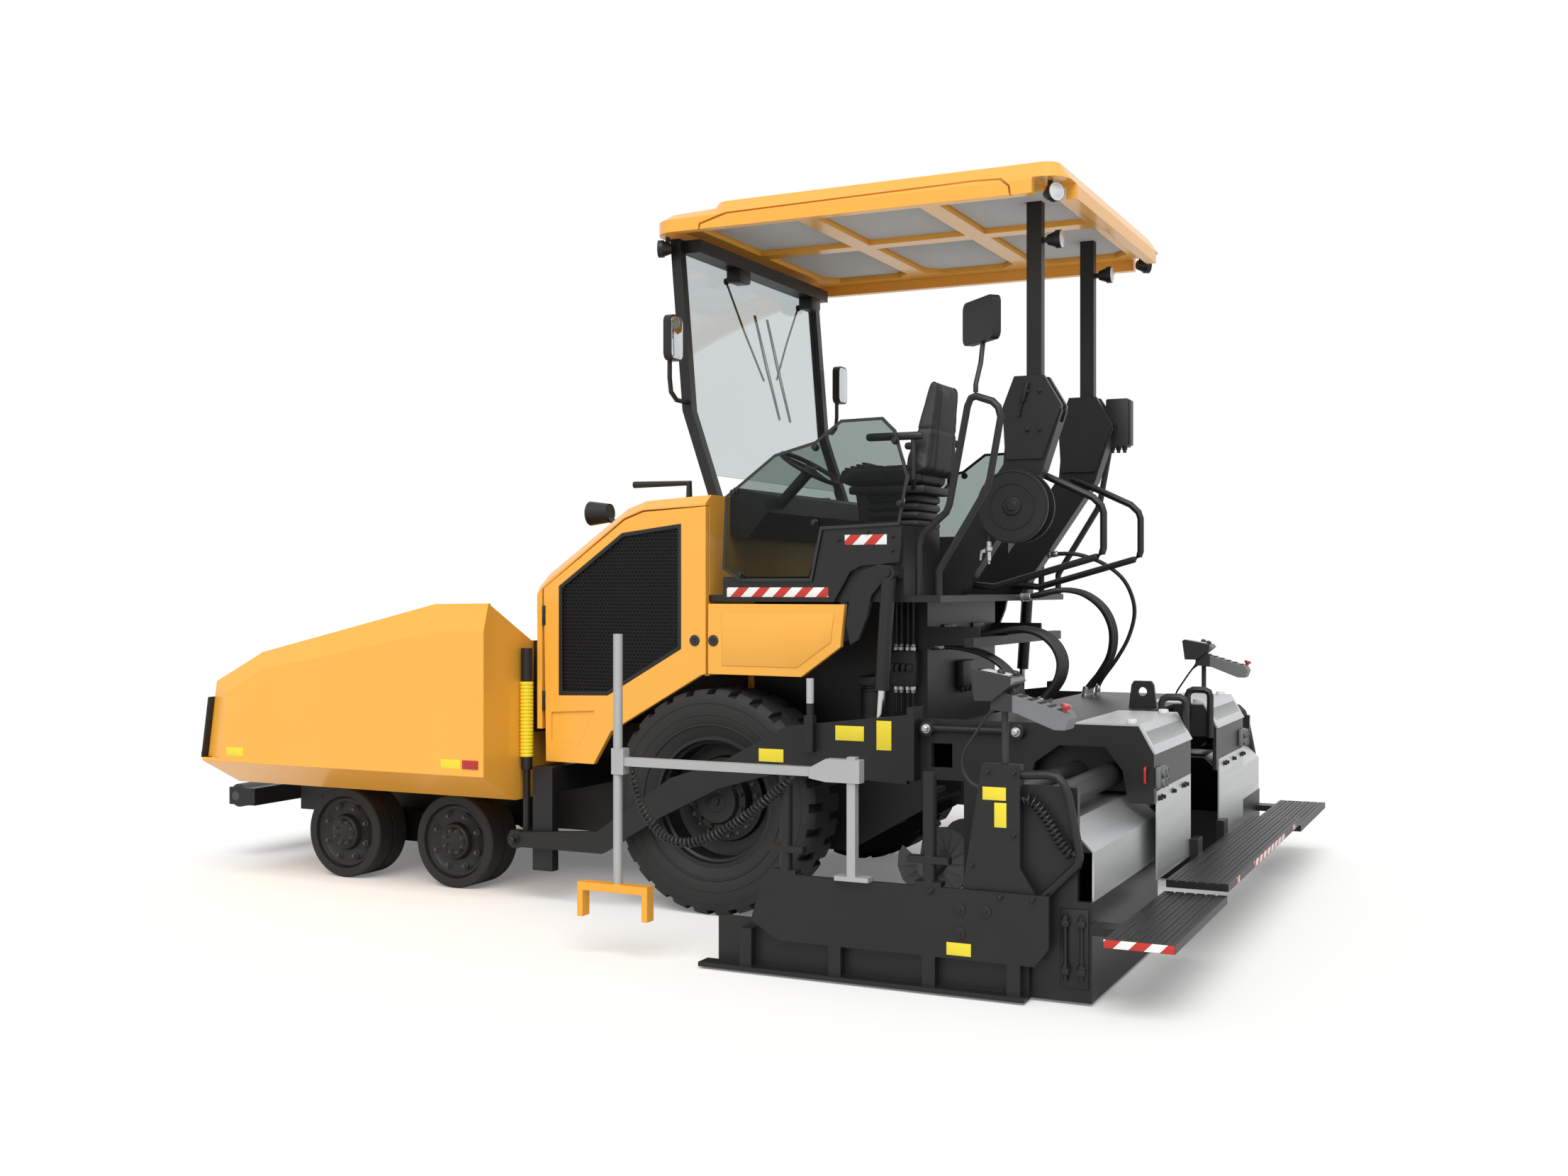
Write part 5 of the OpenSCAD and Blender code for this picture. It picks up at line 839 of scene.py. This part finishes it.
# wipers: motor under the header, arm and blade in front of the glass, which leans forward from its kink
wipers = {"inner": {"motor": (300, 3540), "hold": (-115, 3000), "blade": ((-30, 3390), (-276, 2775))},
          "outer": {"motor": (-700, 3540), "hold": (-300, 3030), "blade": ((-200, 3390), (-430, 2775))}}
pane = {"kinkX": 283, "kinkZ": 2715, "lean": 78, "rise": 952}
wiperMotor = {"x": (232, 330), "half": 70, "below": 20, "above": 66, "edge": 14,
              "shaft": [(0, 0), (13, 0), (13, 40), (20, 42), (20, 56), (0, 58)]}


def beforeGlass(y, z, gap):
    return place(pane["kinkX"] + (z - pane["kinkZ"]) * pane["lean"] / pane["rise"] + gap, y, z)


# a bar in front of the glass, bowed out in its middle
def bowedBar(start, end, gap, bow, diameter):
    middle = beforeGlass((start[0] + end[0]) / 2, (start[1] + end[1]) / 2, bow)
    return tubeAlong([beforeGlass(*start, gap), middle, beforeGlass(*end, gap)], diameter, 2)


for name, wiper in wipers.items():
    y, z = wiper["motor"]
    motor = boxFrom(wiperMotor["x"], (y - wiperMotor["half"], y + wiperMotor["half"]),
                    (z - wiperMotor["below"], z + wiperMotor["above"]), wiperMotor["edge"])
    shaft = turned(wiperMotor["shaft"], beforeGlass(y, z, -30), (1, 0, 0), 16)
    arm = bowedBar(wiper["motor"], wiper["hold"], 20, 26, 13)
    top, foot = wiper["blade"]
    spine = bowedBar(top, foot, 12, 17, 11)
    finishPiece(joined([motor, shaft, arm, spine]), f"wiper_{name}", "tractor", blackPowderCoat)
    rubber = tubeAlong([beforeGlass(*top, 4), beforeGlass(*foot, 4)], 7, 1)
    finishPiece(rubber, f"wiperLip_{name}", "tractor", hoseRubber)
print("cab glass dressed")

# driver's place: wheel on its column, control desk beside the seat, and the seat's shell
driver = {"wheel": (-352, 675, 2392), "radius": 175, "tilt": (-0.5, 0, 0.86), "column": (-120, 675, 2150),
          "rim": 26, "spoke": 18, "spokes": 3, "post": 62,
          "boss": [(0, -40), (34, -40), (46, -10), (40, 6), (26, 10), (0, 11)]}
centre, tilt = place(*driver["wheel"]), Vector(driver["tilt"]).normalized()
side1 = tilt.orthogonal().normalized()
side2 = tilt.cross(side1)


def onRim(angle):
    return centre + (side1 * math.cos(angle) + side2 * math.sin(angle)) * driver["radius"] / 1000


parts = [tubeAlong([onRim(2 * math.pi * k / 48) for k in range(49)], driver["rim"], 3),
         turned(driver["boss"], centre, tilt, 24),
         tubeAlong([centre - tilt * 0.03, place(*driver["column"])], driver["post"], 4)]
for spoke in range(driver["spokes"]):
    parts.append(tubeAlong([centre, onRim(2 * math.pi * spoke / driver["spokes"])], driver["spoke"], 2))
finishPiece(joined(parts), "steeringWheel", "tractor", darkPlastic)

desk = {"y": 250, "width": 110, "edge": 12, "outline": [
    (-640, 2050), (-640, 2400), (-560, 2440), (-400, 2400), (-380, 2340), (-480, 2300), (-520, 2050)]}
deskKeys = {"xs": (-545, -510, -475, -440), "ys": (264, 300, 332), "size": 22, "topX": -560, "topZ": 2436,
            "slope": 0.25, "height": 10, "edge": 3}
deskBody = sidePlate(1, desk["y"], desk["outline"], desk["width"], desk["edge"])
finishPiece(deskBody, "controlDesk", "tractor", greyAbs)
keys = []
for x in deskKeys["xs"]:
    z = deskKeys["topZ"] - (x - deskKeys["topX"]) * deskKeys["slope"]
    keys += [boxFrom((x, x + deskKeys["size"]), (y, y + deskKeys["size"]), (z, z + deskKeys["height"]),
                     deskKeys["edge"]) for y in deskKeys["ys"]]
finishPiece(joined(keys), "controlKeys", "tractor", darkPlastic)

seat = {"y": (425, 925), "bellowsX": (-1051, -751), "bellowsY": (500, 850), "bellowsZ": (2050, 2230),
        "folds": 4, "panX": (-1101, -676), "panY": (450, 900), "panZ": (2230, 2270), "armX": (-1116, -801),
        "armZ": (2500, 2540), "armYs": ((375, 424), (926, 975)), "armPost": 26}
seatMiddle = sum(seat["y"]) / 2
parts = []
step = (seat["bellowsZ"][1] - seat["bellowsZ"][0]) / seat["folds"]
for fold in range(seat["folds"]):
    z = seat["bellowsZ"][0] + step * fold
    parts.append(boxFrom(seat["bellowsX"], seat["bellowsY"], (z, z + step), step * 0.46))
parts.append(boxFrom(seat["panX"], seat["panY"], seat["panZ"], 10))
for y in seat["armYs"]:
    parts.append(boxFrom(seat["armX"], y, seat["armZ"], 17))
    middle = (y[0] + y[1]) / 2
    footY = (middle + seatMiddle) / 2 + (middle - seatMiddle) * 0.3
    post = [place(-1060, middle, 2512), place(-1060, middle, 2300), place(-1040, footY, 2252)]
    parts.append(tubeAlong(post, seat["armPost"], 3))
finishPiece(joined(parts), "seatShell", "tractor", darkPlastic)

# pads cut a little small, remeshed and blown up as stuffed cloth, with sewn seams pressed in, in metres
stuffing = {"voxel": 0.009, "pressure": 4, "moments": 20, "mostMove": 0.012, "seamWidth": 0.009,
            "seamDepth": 0.007}


def stuffed(pad, seams):
    applied(pad, "REMESH", {"mode": "VOXEL", "voxel_size": stuffing["voxel"]})
    before = [vertex.co.copy() for vertex in pad.data.vertices]
    cloth = pad.modifiers.new("stuffing", "CLOTH")
    cloth.settings.use_pressure = True
    cloth.settings.uniform_pressure_force = stuffing["pressure"]
    cloth.settings.effector_weights.gravity = 0
    cloth.point_cache.frame_end = stuffing["moments"]
    for moment in range(1, stuffing["moments"] + 1):
        bpy.context.scene.frame_set(moment)
    pick(pad)
    bpy.ops.object.modifier_apply(modifier=cloth.name)
    bpy.context.scene.frame_set(1)
    for vertex, old in zip(pad.data.vertices, before):
        move = vertex.co - old
        if move.length > stuffing["mostMove"]:
            vertex.co = old + move * (stuffing["mostMove"] / move.length)
    for vertex in pad.data.vertices:
        depth = sum(math.exp(-((vertex.co[axis] - at) / stuffing["seamWidth"]) ** 2) for axis, at in seams)
        vertex.co -= vertex.normal * stuffing["seamDepth"] * min(depth, 1)
    applied(pad, "SUBSURF", {"levels": 1, "render_levels": 1})


# each pad's side outline, and its seams as an axis and a place on it in metres
pads = {
    "seatCushion": {"seams": [(1, 0.54), (1, 0.81), (0, place(-860, 0, 0).x)], "outline": [
        (-1060, 2284), (-1068, 2320), (-1060, 2362), (-990, 2368), (-800, 2370), (-700, 2364), (-658, 2344),
        (-650, 2312), (-664, 2284)]},
    "seatBack": {"seams": [(1, 0.55), (1, 0.80), (2, 2.56)], "outline": [
        (-1062, 2316), (-1108, 2340), (-1150, 2800), (-1134, 2824), (-1112, 2816), (-1006, 2400),
        (-998, 2336)]},
}
padCut = {"in": 14, "edge": 22, "taperZ": 2.4, "taperRun": 0.42, "taper": 0.28}
for name, cut in pads.items():
    near, far = seat["y"][0] + padCut["in"], seat["y"][1] - padCut["in"]
    pad = sidePlate(1, near, cut["outline"], far - near, padCut["edge"])
    # the back narrows towards its top
    for vertex in pad.data.vertices:
        rise = max(0, vertex.co.z - padCut["taperZ"]) / padCut["taperRun"]
        vertex.co.y = seatMiddle / 1000 + (vertex.co.y - seatMiddle / 1000) * (1 - padCut["taper"] * rise)
    stuffed(pad, cut["seams"])
    finishPiece(pad, name, "tractor", seatVinyl)
    if name == "seatCushion":
        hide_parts("seat")
print("driver's place made")

# tread bars on the walkways: rows of short raised dashes, narrower at the top
tread = {"rearX": -2685, "width": 285, "rows": 6, "pitch": 46, "bar": (7, 26, 2), "top": (0.5, 0.85, 1),
         "stagger": 0.25}
walks = {"centreTread": ("screed", (-1150, 1150), 380), "leftTread": ("extender_left", (1220, 2320), 332),
         "rightTread": ("extender_right", (-2320, -1220), 332)}
for name, (body, ys, z) in walks.items():
    width, length, height = tread["bar"]
    foot = corners((-width / 2, width / 2), (-length / 2, length / 2))
    model = plateFrom([Vector((x / 1000, y / 1000, 0)) for x, y in foot], (0, 0, height))
    pickFaces(model, facesUp)
    bpy.ops.transform.resize(value=tread["top"])
    bpy.ops.object.mode_set(mode="OBJECT")
    spots = []
    for row in range(tread["rows"]):
        x = tread["rearX"] + tread["width"] * (row + 0.5) / tread["rows"]
        count = int((ys[1] - ys[0]) / tread["pitch"])
        shift = 0.5 + tread["stagger"] * (row % 2)
        spots += [place(x, ys[0] + tread["pitch"] * (i + shift), z) for i in range(count)]
    studs = copiesAt(model, spots, (0, 0, 1))
    bpy.data.objects.remove(model)
    finishPiece(studs, name, body, blackPowderCoat)

# screed covers: slot rows in the chamfer, socket box and handle on the rear, vents on top
coverSlots = {"count": 30, "firstY": 420, "pitch": 25, "x": -2350, "z": 962, "run": 72, "rise": 128,
              "out": 0.0072, "up": 0.04, "half": 0.004, "length": 0.07, "thick": 1.4, "edge": 0.4}
socketBox = {"x": (-2376, -2350), "y": (1040, 1180), "z": (800, 900), "edge": 8,
             "ys": (1078, 1142), "zs": (826, 874),
             "shape": [(0, 0), (20, 0), (24, 6), (24, 14), (17, 16), (17, 10), (0, 10)]}
isolator = {"x": -2312, "diameter": 14,
            "route": [(1198, 900), (1216, 897), (1222, 880), (1222, 846), (1216, 829), (1198, 826)]}
coverVents = {"x": -2230, "ys": (1130, 440), "z": 1098,
              "shape": [(0, 0), (24, 0), (26, 4), (26, 16), (20, 20), (0, 20)]}
for side, sign in sides.items():
    lean = Vector((coverSlots["run"], 0, coverSlots["rise"])).normalized()
    out = Vector((-coverSlots["rise"], 0, coverSlots["run"])).normalized()
    across, reach = Vector((0, coverSlots["half"], 0)), lean * coverSlots["length"]
    slots = []
    for number in range(coverSlots["count"]):
        y = sign * (coverSlots["firstY"] + coverSlots["pitch"] * number)
        foot = place(coverSlots["x"], y, coverSlots["z"]) + out * coverSlots["out"] + lean * coverSlots["up"]
        slots.append(plateFrom([foot - across, foot + across, foot + across + reach, foot - across + reach],
                               out * coverSlots["thick"], coverSlots["edge"]))
    finishPiece(joined(slots), f"coverSlots_{side}", "screed", darkPlastic)
    parts = [boxFrom(socketBox["x"], stretch(sign, *socketBox["y"]), socketBox["z"], socketBox["edge"])]
    parts += [turned(socketBox["shape"], place(socketBox["x"][0], sign * y, z), (-1, 0, 0), 20)
              for y in socketBox["ys"] for z in socketBox["zs"]]
    finishPiece(joined(parts), f"socketBox_{side}", "screed", greyAbs)
    grip = smoothRun([place(isolator["x"], sign * y, z) for y, z in isolator["route"]], 20)
    finishPiece(tubeAlong(grip, isolator["diameter"], 3), f"isolatorHandle_{side}", "screed", redAcrylic)
    vents = [turned(coverVents["shape"], place(coverVents["x"], sign * y, coverVents["z"]), (0, 0, 1), 24)
             for y in coverVents["ys"]]
    finishPiece(joined(vents), f"coverVents_{side}", "screed", whiteCap)
print("screed dressed")

# consoles: a screen on the sloping top of the head with its lit panel left blank, keys, sticks and stop knob
console = {"y": 2159.85, "rearX": -2213, "rearZ": 1222.5, "rise": 82.5, "run": 281.4,
           "headUp": (-0.18, 0, 1), "topUp": (-0.3, 0, 0.95)}
panes = {"consoleScreen": {"low": (-1986, 1363), "high": (-1824, 1392), "half": 70, "thick": 3, "edge": 1,
                           "finish": screenGlass},
         "consoleDisplay": {"low": (-1968, 1369), "high": (-1846, 1391), "half": 54, "thick": 1.2,
                            "edge": 0.4, "finish": whiteCap}}
consoleKeys = {"rows": 3, "columns": 6, "x": -2190, "columnStep": 42, "long": 20, "y": -44,
               "rowStep": 34, "wide": 18}
stick = {"feet": [(-1950, -30, 1298), (-1904, 30, 1306)], "shape": [
    (0, 0), (26, 0), (24, 8), (17, 14), (12, 22), (8, 26), (8, 60), (15, 66), (18, 82), (12, 92), (0, 94)]}
stop = {"x": -2206, "y": 44, "z": 1228,
        "shape": [(0, 0), (12, 0), (12, 12), (22, 14), (23, 24), (18, 30), (0, 31)]}
for side, sign in sides.items():
    body, y = f"extender_{side}", console["y"]
    for name, sheet in panes.items():
        (x0, z0), (x1, z1), half = sheet["low"], sheet["high"], sheet["half"]
        edges = ((x0, z0, -half), (x0, z0, half), (x1, z1, half), (x1, z1, -half))
        spots = [place(x, sign * (y + w), z) for x, z, w in edges]
        glass = plateFrom(spots, Vector(console["headUp"]) * sheet["thick"], sheet["edge"])
        finishPiece(glass, f"{name}_{side}", body, sheet["finish"])
    keys = []
    for row in range(consoleKeys["rows"]):
        near = y + consoleKeys["y"] + consoleKeys["rowStep"] * row
        for column in range(consoleKeys["columns"]):
            x = consoleKeys["x"] + consoleKeys["columnStep"] * column
            z = console["rearZ"] + (x - console["rearX"]) * console["rise"] / console["run"] + 2
            keys.append(boxFrom((x, x + consoleKeys["long"]), stretch(sign, near, near + consoleKeys["wide"]),
                                (z - 3, z + 6), 2))
    finishPiece(joined(keys), f"consoleKeys_{side}", body, darkPlastic)
    sticks = [turned(stick["shape"], place(x, sign * (y + dy), z), console["topUp"], 20)
              for x, dy, z in stick["feet"]]
    finishPiece(joined(sticks), f"consoleSticks_{side}", body, darkPlastic)
    knob = turned(stop["shape"], place(stop["x"], sign * (y + stop["y"]), stop["z"]), console["topUp"], 24)
    finishPiece(knob, f"consoleStop_{side}", body, redAcrylic)

# ribbed sleeve on the levelling cylinder, hopper lips and reflectors, and the gas struts at the posts
sleeve = {"x": 1150, "y": 1202, "z": 795, "inner": 32.4, "valley": 34, "crest": 38, "ridges": 21, "pitch": 20}
sleeveShape = [(sleeve["inner"], 0)]
for rise in [ridge * sleeve["pitch"] for ridge in range(sleeve["ridges"])]:
    sleeveShape += [(sleeve["valley"], rise), (sleeve["crest"], rise + 4), (sleeve["crest"], rise + 12),
                    (sleeve["valley"], rise + 16)]
sleeveTop = sleeve["ridges"] * sleeve["pitch"]
sleeveShape += [(sleeve["valley"], sleeveTop), (sleeve["inner"], sleeveTop)]
lip = {"frontX": 3225, "thick": 14, "edge": ((3225, 735), (3171, 1090)), "y": 1488, "wide": 60,
       "floor": ((1252, 577), (1548, 731)), "drop": 34, "round": 3}
reflector = {"x": (1225, 1330), "y": (1549.5, 1556), "z": (752, 800), "edge": 2.5}
strut = {"top": (-1561, 2800), "foot": (-1515, 2640), "y": 612, "eyeY": 608,
         "eye": [(0, -13), (10, -13), (10, 13), (0, 13)],
         "shape": [(0, 0), (11, 0), (12, 2), (12, 96), (11, 98), (5, 98), (5, 166), (0, 166)]}
for side, sign in sides.items():
    ribbed = turned(sleeveShape, place(sleeve["x"], sign * sleeve["y"], sleeve["z"]), (0, 0, 1), 28)
    finishPiece(ribbed, f"levelSleeve_{side}", "tractor", plateFoil)
    (x0, z0), (x1, z1) = lip["edge"]
    outline = ((x0, z0), (x0 + lip["thick"], z0), (x1 + lip["thick"], z1), (x1, z1))
    upright = sidePlate(sign, lip["y"], outline, lip["wide"], lip["round"])
    (y0, z0), (y1, z1) = lip["floor"]
    outline = ((y0, z0), (y1, z1), (y1, z1 + lip["drop"]), (y0, z0 + lip["drop"]))
    sill = plateFrom([place(lip["frontX"], sign * y, z) for y, z in outline],
                     (lip["thick"], 0, 0), lip["round"])
    finishPiece(joined([upright, sill]), f"wingLip_{side}", f"hopper_wing_{side}", tyreRubber)
    glow = boxFrom(reflector["x"], stretch(sign, *reflector["y"]), reflector["z"], reflector["edge"])
    finishPiece(glow, f"wingReflector_{side}", f"hopper_wing_{side}", redAcrylic)
    (x0, z0), (x1, z1) = strut["top"], strut["foot"]
    along = place(x1, 0, z1) - place(x0, 0, z0)
    parts = [turned(strut["shape"], place(x0, sign * strut["y"], z0), along, 16)]
    parts += [turned(strut["eye"], spot, (0, 1, 0), 16)
              for spot in atY(sign * strut["eyeY"], (strut["top"], strut["foot"]))]
    finishPiece(joined(parts), f"gasStrut_{side}", "tractor", blackPowderCoat)

# under the platform: valve bank, oil filter and steel lines on the pedestal's sides, a box on its rear wall
bank = {"wallY": 580, "x": (-955, -815), "outY": 655, "z": (1210, 1400), "ports": (-933, -903, -867, -837),
        "coilY": (654, 699), "coilZ": (1290, 1332), "coilHalf": 12,
        "stem": [(0, 0), (9, 0), (9, 10), (0, 12)],
        "lineY": 620, "lineD": 17, "topZ": 1660, "bendZs": (1120, 1060), "bendOut": (606, 1022),
        "footZ": 1010, "nut": [(0, -2), (14, -2), (15, 2), (15, 20), (12, 23), (11, 36), (0, 36)]}
oilFilter = {"x": -700, "y": 645, "z": 1000, "half": 55, "headZ": (208, 262), "shape": [
    (0, 0), (44, 0), (54, 8), (54, 178), (58, 181), (58, 192), (44, 196), (44, 214), (0, 214)]}
hoseFlange = {"x": (-1012, -1000), "y": (140, 352), "z": (1462, 1538), "edge": 3}


# a cable gland hanging from a box, with its cable's stub
def gland(stub):
    return [(0, 0), (15, 0), (16, 3), (16, 14), (11, 17), (11, stub), (0, stub)]


for side, sign in sides.items():
    blocks = [boxFrom(bank["x"], stretch(sign, bank["wallY"], bank["outY"]), bank["z"], 6)]
    for x in bank["ports"]:
        blocks.append(boxFrom((x - bank["coilHalf"], x + bank["coilHalf"]),
                              stretch(sign, *bank["coilY"]), bank["coilZ"], 4))
        tip = place(x, sign * (bank["coilY"][1] - 1), sum(bank["coilZ"]) / 2)
        blocks.append(turned(bank["stem"], tip, (0, sign, 0), 12))
    finishPiece(joined(blocks), f"valveBank_{side}", "tractor", darkPlastic)
    pipes, nuts = [], []
    for x in bank["ports"]:
        y, wall = sign * bank["lineY"], sign * (bank["wallY"] - 4)
        low, high = bank["z"]
        bendY, bendZ = bank["bendOut"]
        down = [place(x, y, z) for z in (low, *bank["bendZs"])]
        down += [place(x, sign * bendY, bendZ), place(x, wall, bank["footZ"])]
        pipes.append(tubeAlong([place(x, y, high), place(x, y, bank["topZ"])], bank["lineD"], 2))
        pipes.append(tubeAlong(smoothRun(down, 14), bank["lineD"], 2))
        nuts += [turned(bank["nut"], place(x, y, z), (0, 0, aim), 6) for z, aim in ((high, 1), (low, -1))]
    finishPiece(joined(pipes), f"steelLines_{side}", "tractor", blackPowderCoat)
    finishPiece(joined(nuts), f"lineNuts_{side}", "tractor", zincPlate)
    x, y, z, half = oilFilter["x"], oilFilter["y"], oilFilter["z"], oilFilter["half"]
    canister = turned(oilFilter["shape"], place(x, sign * y, z), (0, 0, 1), 32)
    head = boxFrom((x - half, x + half), stretch(sign, bank["wallY"], y + half),
                   [z + rise for rise in oilFilter["headZ"]], 8)
    finishPiece(joined([canister, head]), f"oilFilter_{side}", "tractor", darkPlastic)
    flange = boxFrom(hoseFlange["x"], stretch(sign, *hoseFlange["y"]), hoseFlange["z"], hoseFlange["edge"])
    finishPiece(flange, f"hoseFlange_{side}", "tractor", blackPowderCoat)
junction = {"x": (-1044, -1000), "y": (-90, 120), "z": (1180, 1330), "edge": 8, "glandX": -1022,
            "glandYs": (-55, 15, 85)}
parts = [boxFrom(junction["x"], junction["y"], junction["z"], junction["edge"])]
parts += [turned(gland(30), place(junction["glandX"], y, junction["z"][0]), (0, 0, -1), 12)
          for y in junction["glandYs"]]
finishPiece(joined(parts), "junctionBox", "tractor", darkPlastic)

# power box on the right post's cheek, with its lid and cable glands
powerBox = {"x": (-1800, -1668), "y": (-692, -598), "z": (2560, 2842), "edge": 9, "lid": 12, "lidIn": (8, 10),
            "glandY": -645, "glandXs": (-1770, -1734, -1698)}
rearX, (y0, y1), (z0, z1), (inY, inZ) = powerBox["x"][0], powerBox["y"], powerBox["z"], powerBox["lidIn"]
case = boxFrom(powerBox["x"], powerBox["y"], powerBox["z"], powerBox["edge"])
cover = boxFrom((rearX - powerBox["lid"], rearX + 1), (y0 + inY, y1 - inY), (z0 + inZ, z1 - inZ), 4)
glands = [turned(gland(32), place(x, powerBox["glandY"], z0), (0, 0, -1), 12) for x in powerBox["glandXs"]]
finishPiece(joined([case, cover] + glands), "powerBox", "tractor", darkPlastic)

# gate guide behind each end gate: a plate with two threaded adjusters and their nuts
guide = {"x": (-2288, -2168), "y": (2129, 2140), "z": (70, 400), "edge": 3, "screws": (-2262, -2194),
         "screwY": 2152, "screwZ": (100, 380), "screwD": 16, "blockY": (2130, 2166), "blockZs": (130, 330),
         "blockHalf": 17, "blockHigh": 26, "nut": [(0, 0), (15, 0), (16, 2), (16, 12), (15, 14), (0, 14)]}
for side, sign in sides.items():
    y, half = sign * guide["screwY"], guide["blockHalf"]
    parts = [boxFrom(guide["x"], stretch(sign, *guide["y"]), guide["z"], guide["edge"])]
    for x in guide["screws"]:
        parts.append(tubeAlong([place(x, y, z) for z in guide["screwZ"]], guide["screwD"], 3))
        for z in guide["blockZs"]:
            top = z + guide["blockHigh"]
            block = boxFrom((x - half, x + half), stretch(sign, *guide["blockY"]), (z, top), guide["edge"])
            parts += [block, turned(guide["nut"], place(x, y, top), (0, 0, 1), 6)]
    finishPiece(joined(parts), f"gateGuide_{side}", f"extender_{side}", blackPowderCoat)
print("small trim on")

# studio: pale floor, even light from all round and a broad soft lamp from the photograph's left
clearPick()
bpy.ops.mesh.primitive_plane_add(size=studio["floorSize"], location=(0, 0, -studio["floorDrop"]))
floor = bpy.context.object
floor.name = "studioFloor"
bpy.ops.object.transform_apply(location=True, rotation=True, scale=True)
floorPaint, tree, shader, coords = newFinish("floorPaint", {"Roughness": 0.9})
mottle(tree, shader, coords, (studio["floorTone"],) * 2, patch=900, grain=40, height=0.05, edge=0)
# the camera sees the floor near white, and the object's shadow stays on it
floorRays = addNode(tree, "LightPath")
lift = addNode(tree, "Math", {"operation": "MULTIPLY", 1: studio["floorLift"]},
               {0: floorRays.outputs["Is Camera Ray"]})
shader.inputs["Emission Color"].default_value = linear(studio["white"])
tree.links.new(lift.outputs[0], shader.inputs["Emission Strength"])
floor.data.materials.append(floorPaint)

bpy.ops.object.light_add(type="SUN", rotation=[math.radians(a) for a in studio["lampTurn"]])
lamp = bpy.context.object
lamp.data.energy = studio["lampPower"]
lamp.data.angle = math.radians(studio["lampSpread"])

world = bpy.data.worlds.new("studioLight")
bpy.context.scene.world = world
world.use_nodes = True
tree = world.node_tree
sky = tree.nodes["Background"]
sky.inputs["Color"].default_value = linear(studio["white"])
sky.inputs["Strength"].default_value = studio["worldLight"]
backdrop = addNode(tree, "Background", {"Color": linear(studio["white"]), "Strength": 1})
rays = addNode(tree, "LightPath").outputs
seen = addNode(tree, "Math", {"operation": "MAXIMUM"}, {0: rays["Is Camera Ray"], 1: rays["Is Glossy Ray"]})
seen = addNode(tree, "Math", {"operation": "MAXIMUM"}, {0: seen.outputs[0], 1: rays["Is Transmission Ray"]})
sheet = addNode(tree, "MixShader", {}, {0: seen.outputs[0], 1: sky.outputs[0], 2: backdrop.outputs[0]})
tree.links.new(sheet.outputs[0], tree.nodes["World Output"].inputs["Surface"])
bpy.context.scene.view_settings.view_transform = "Standard"
print("studio set")
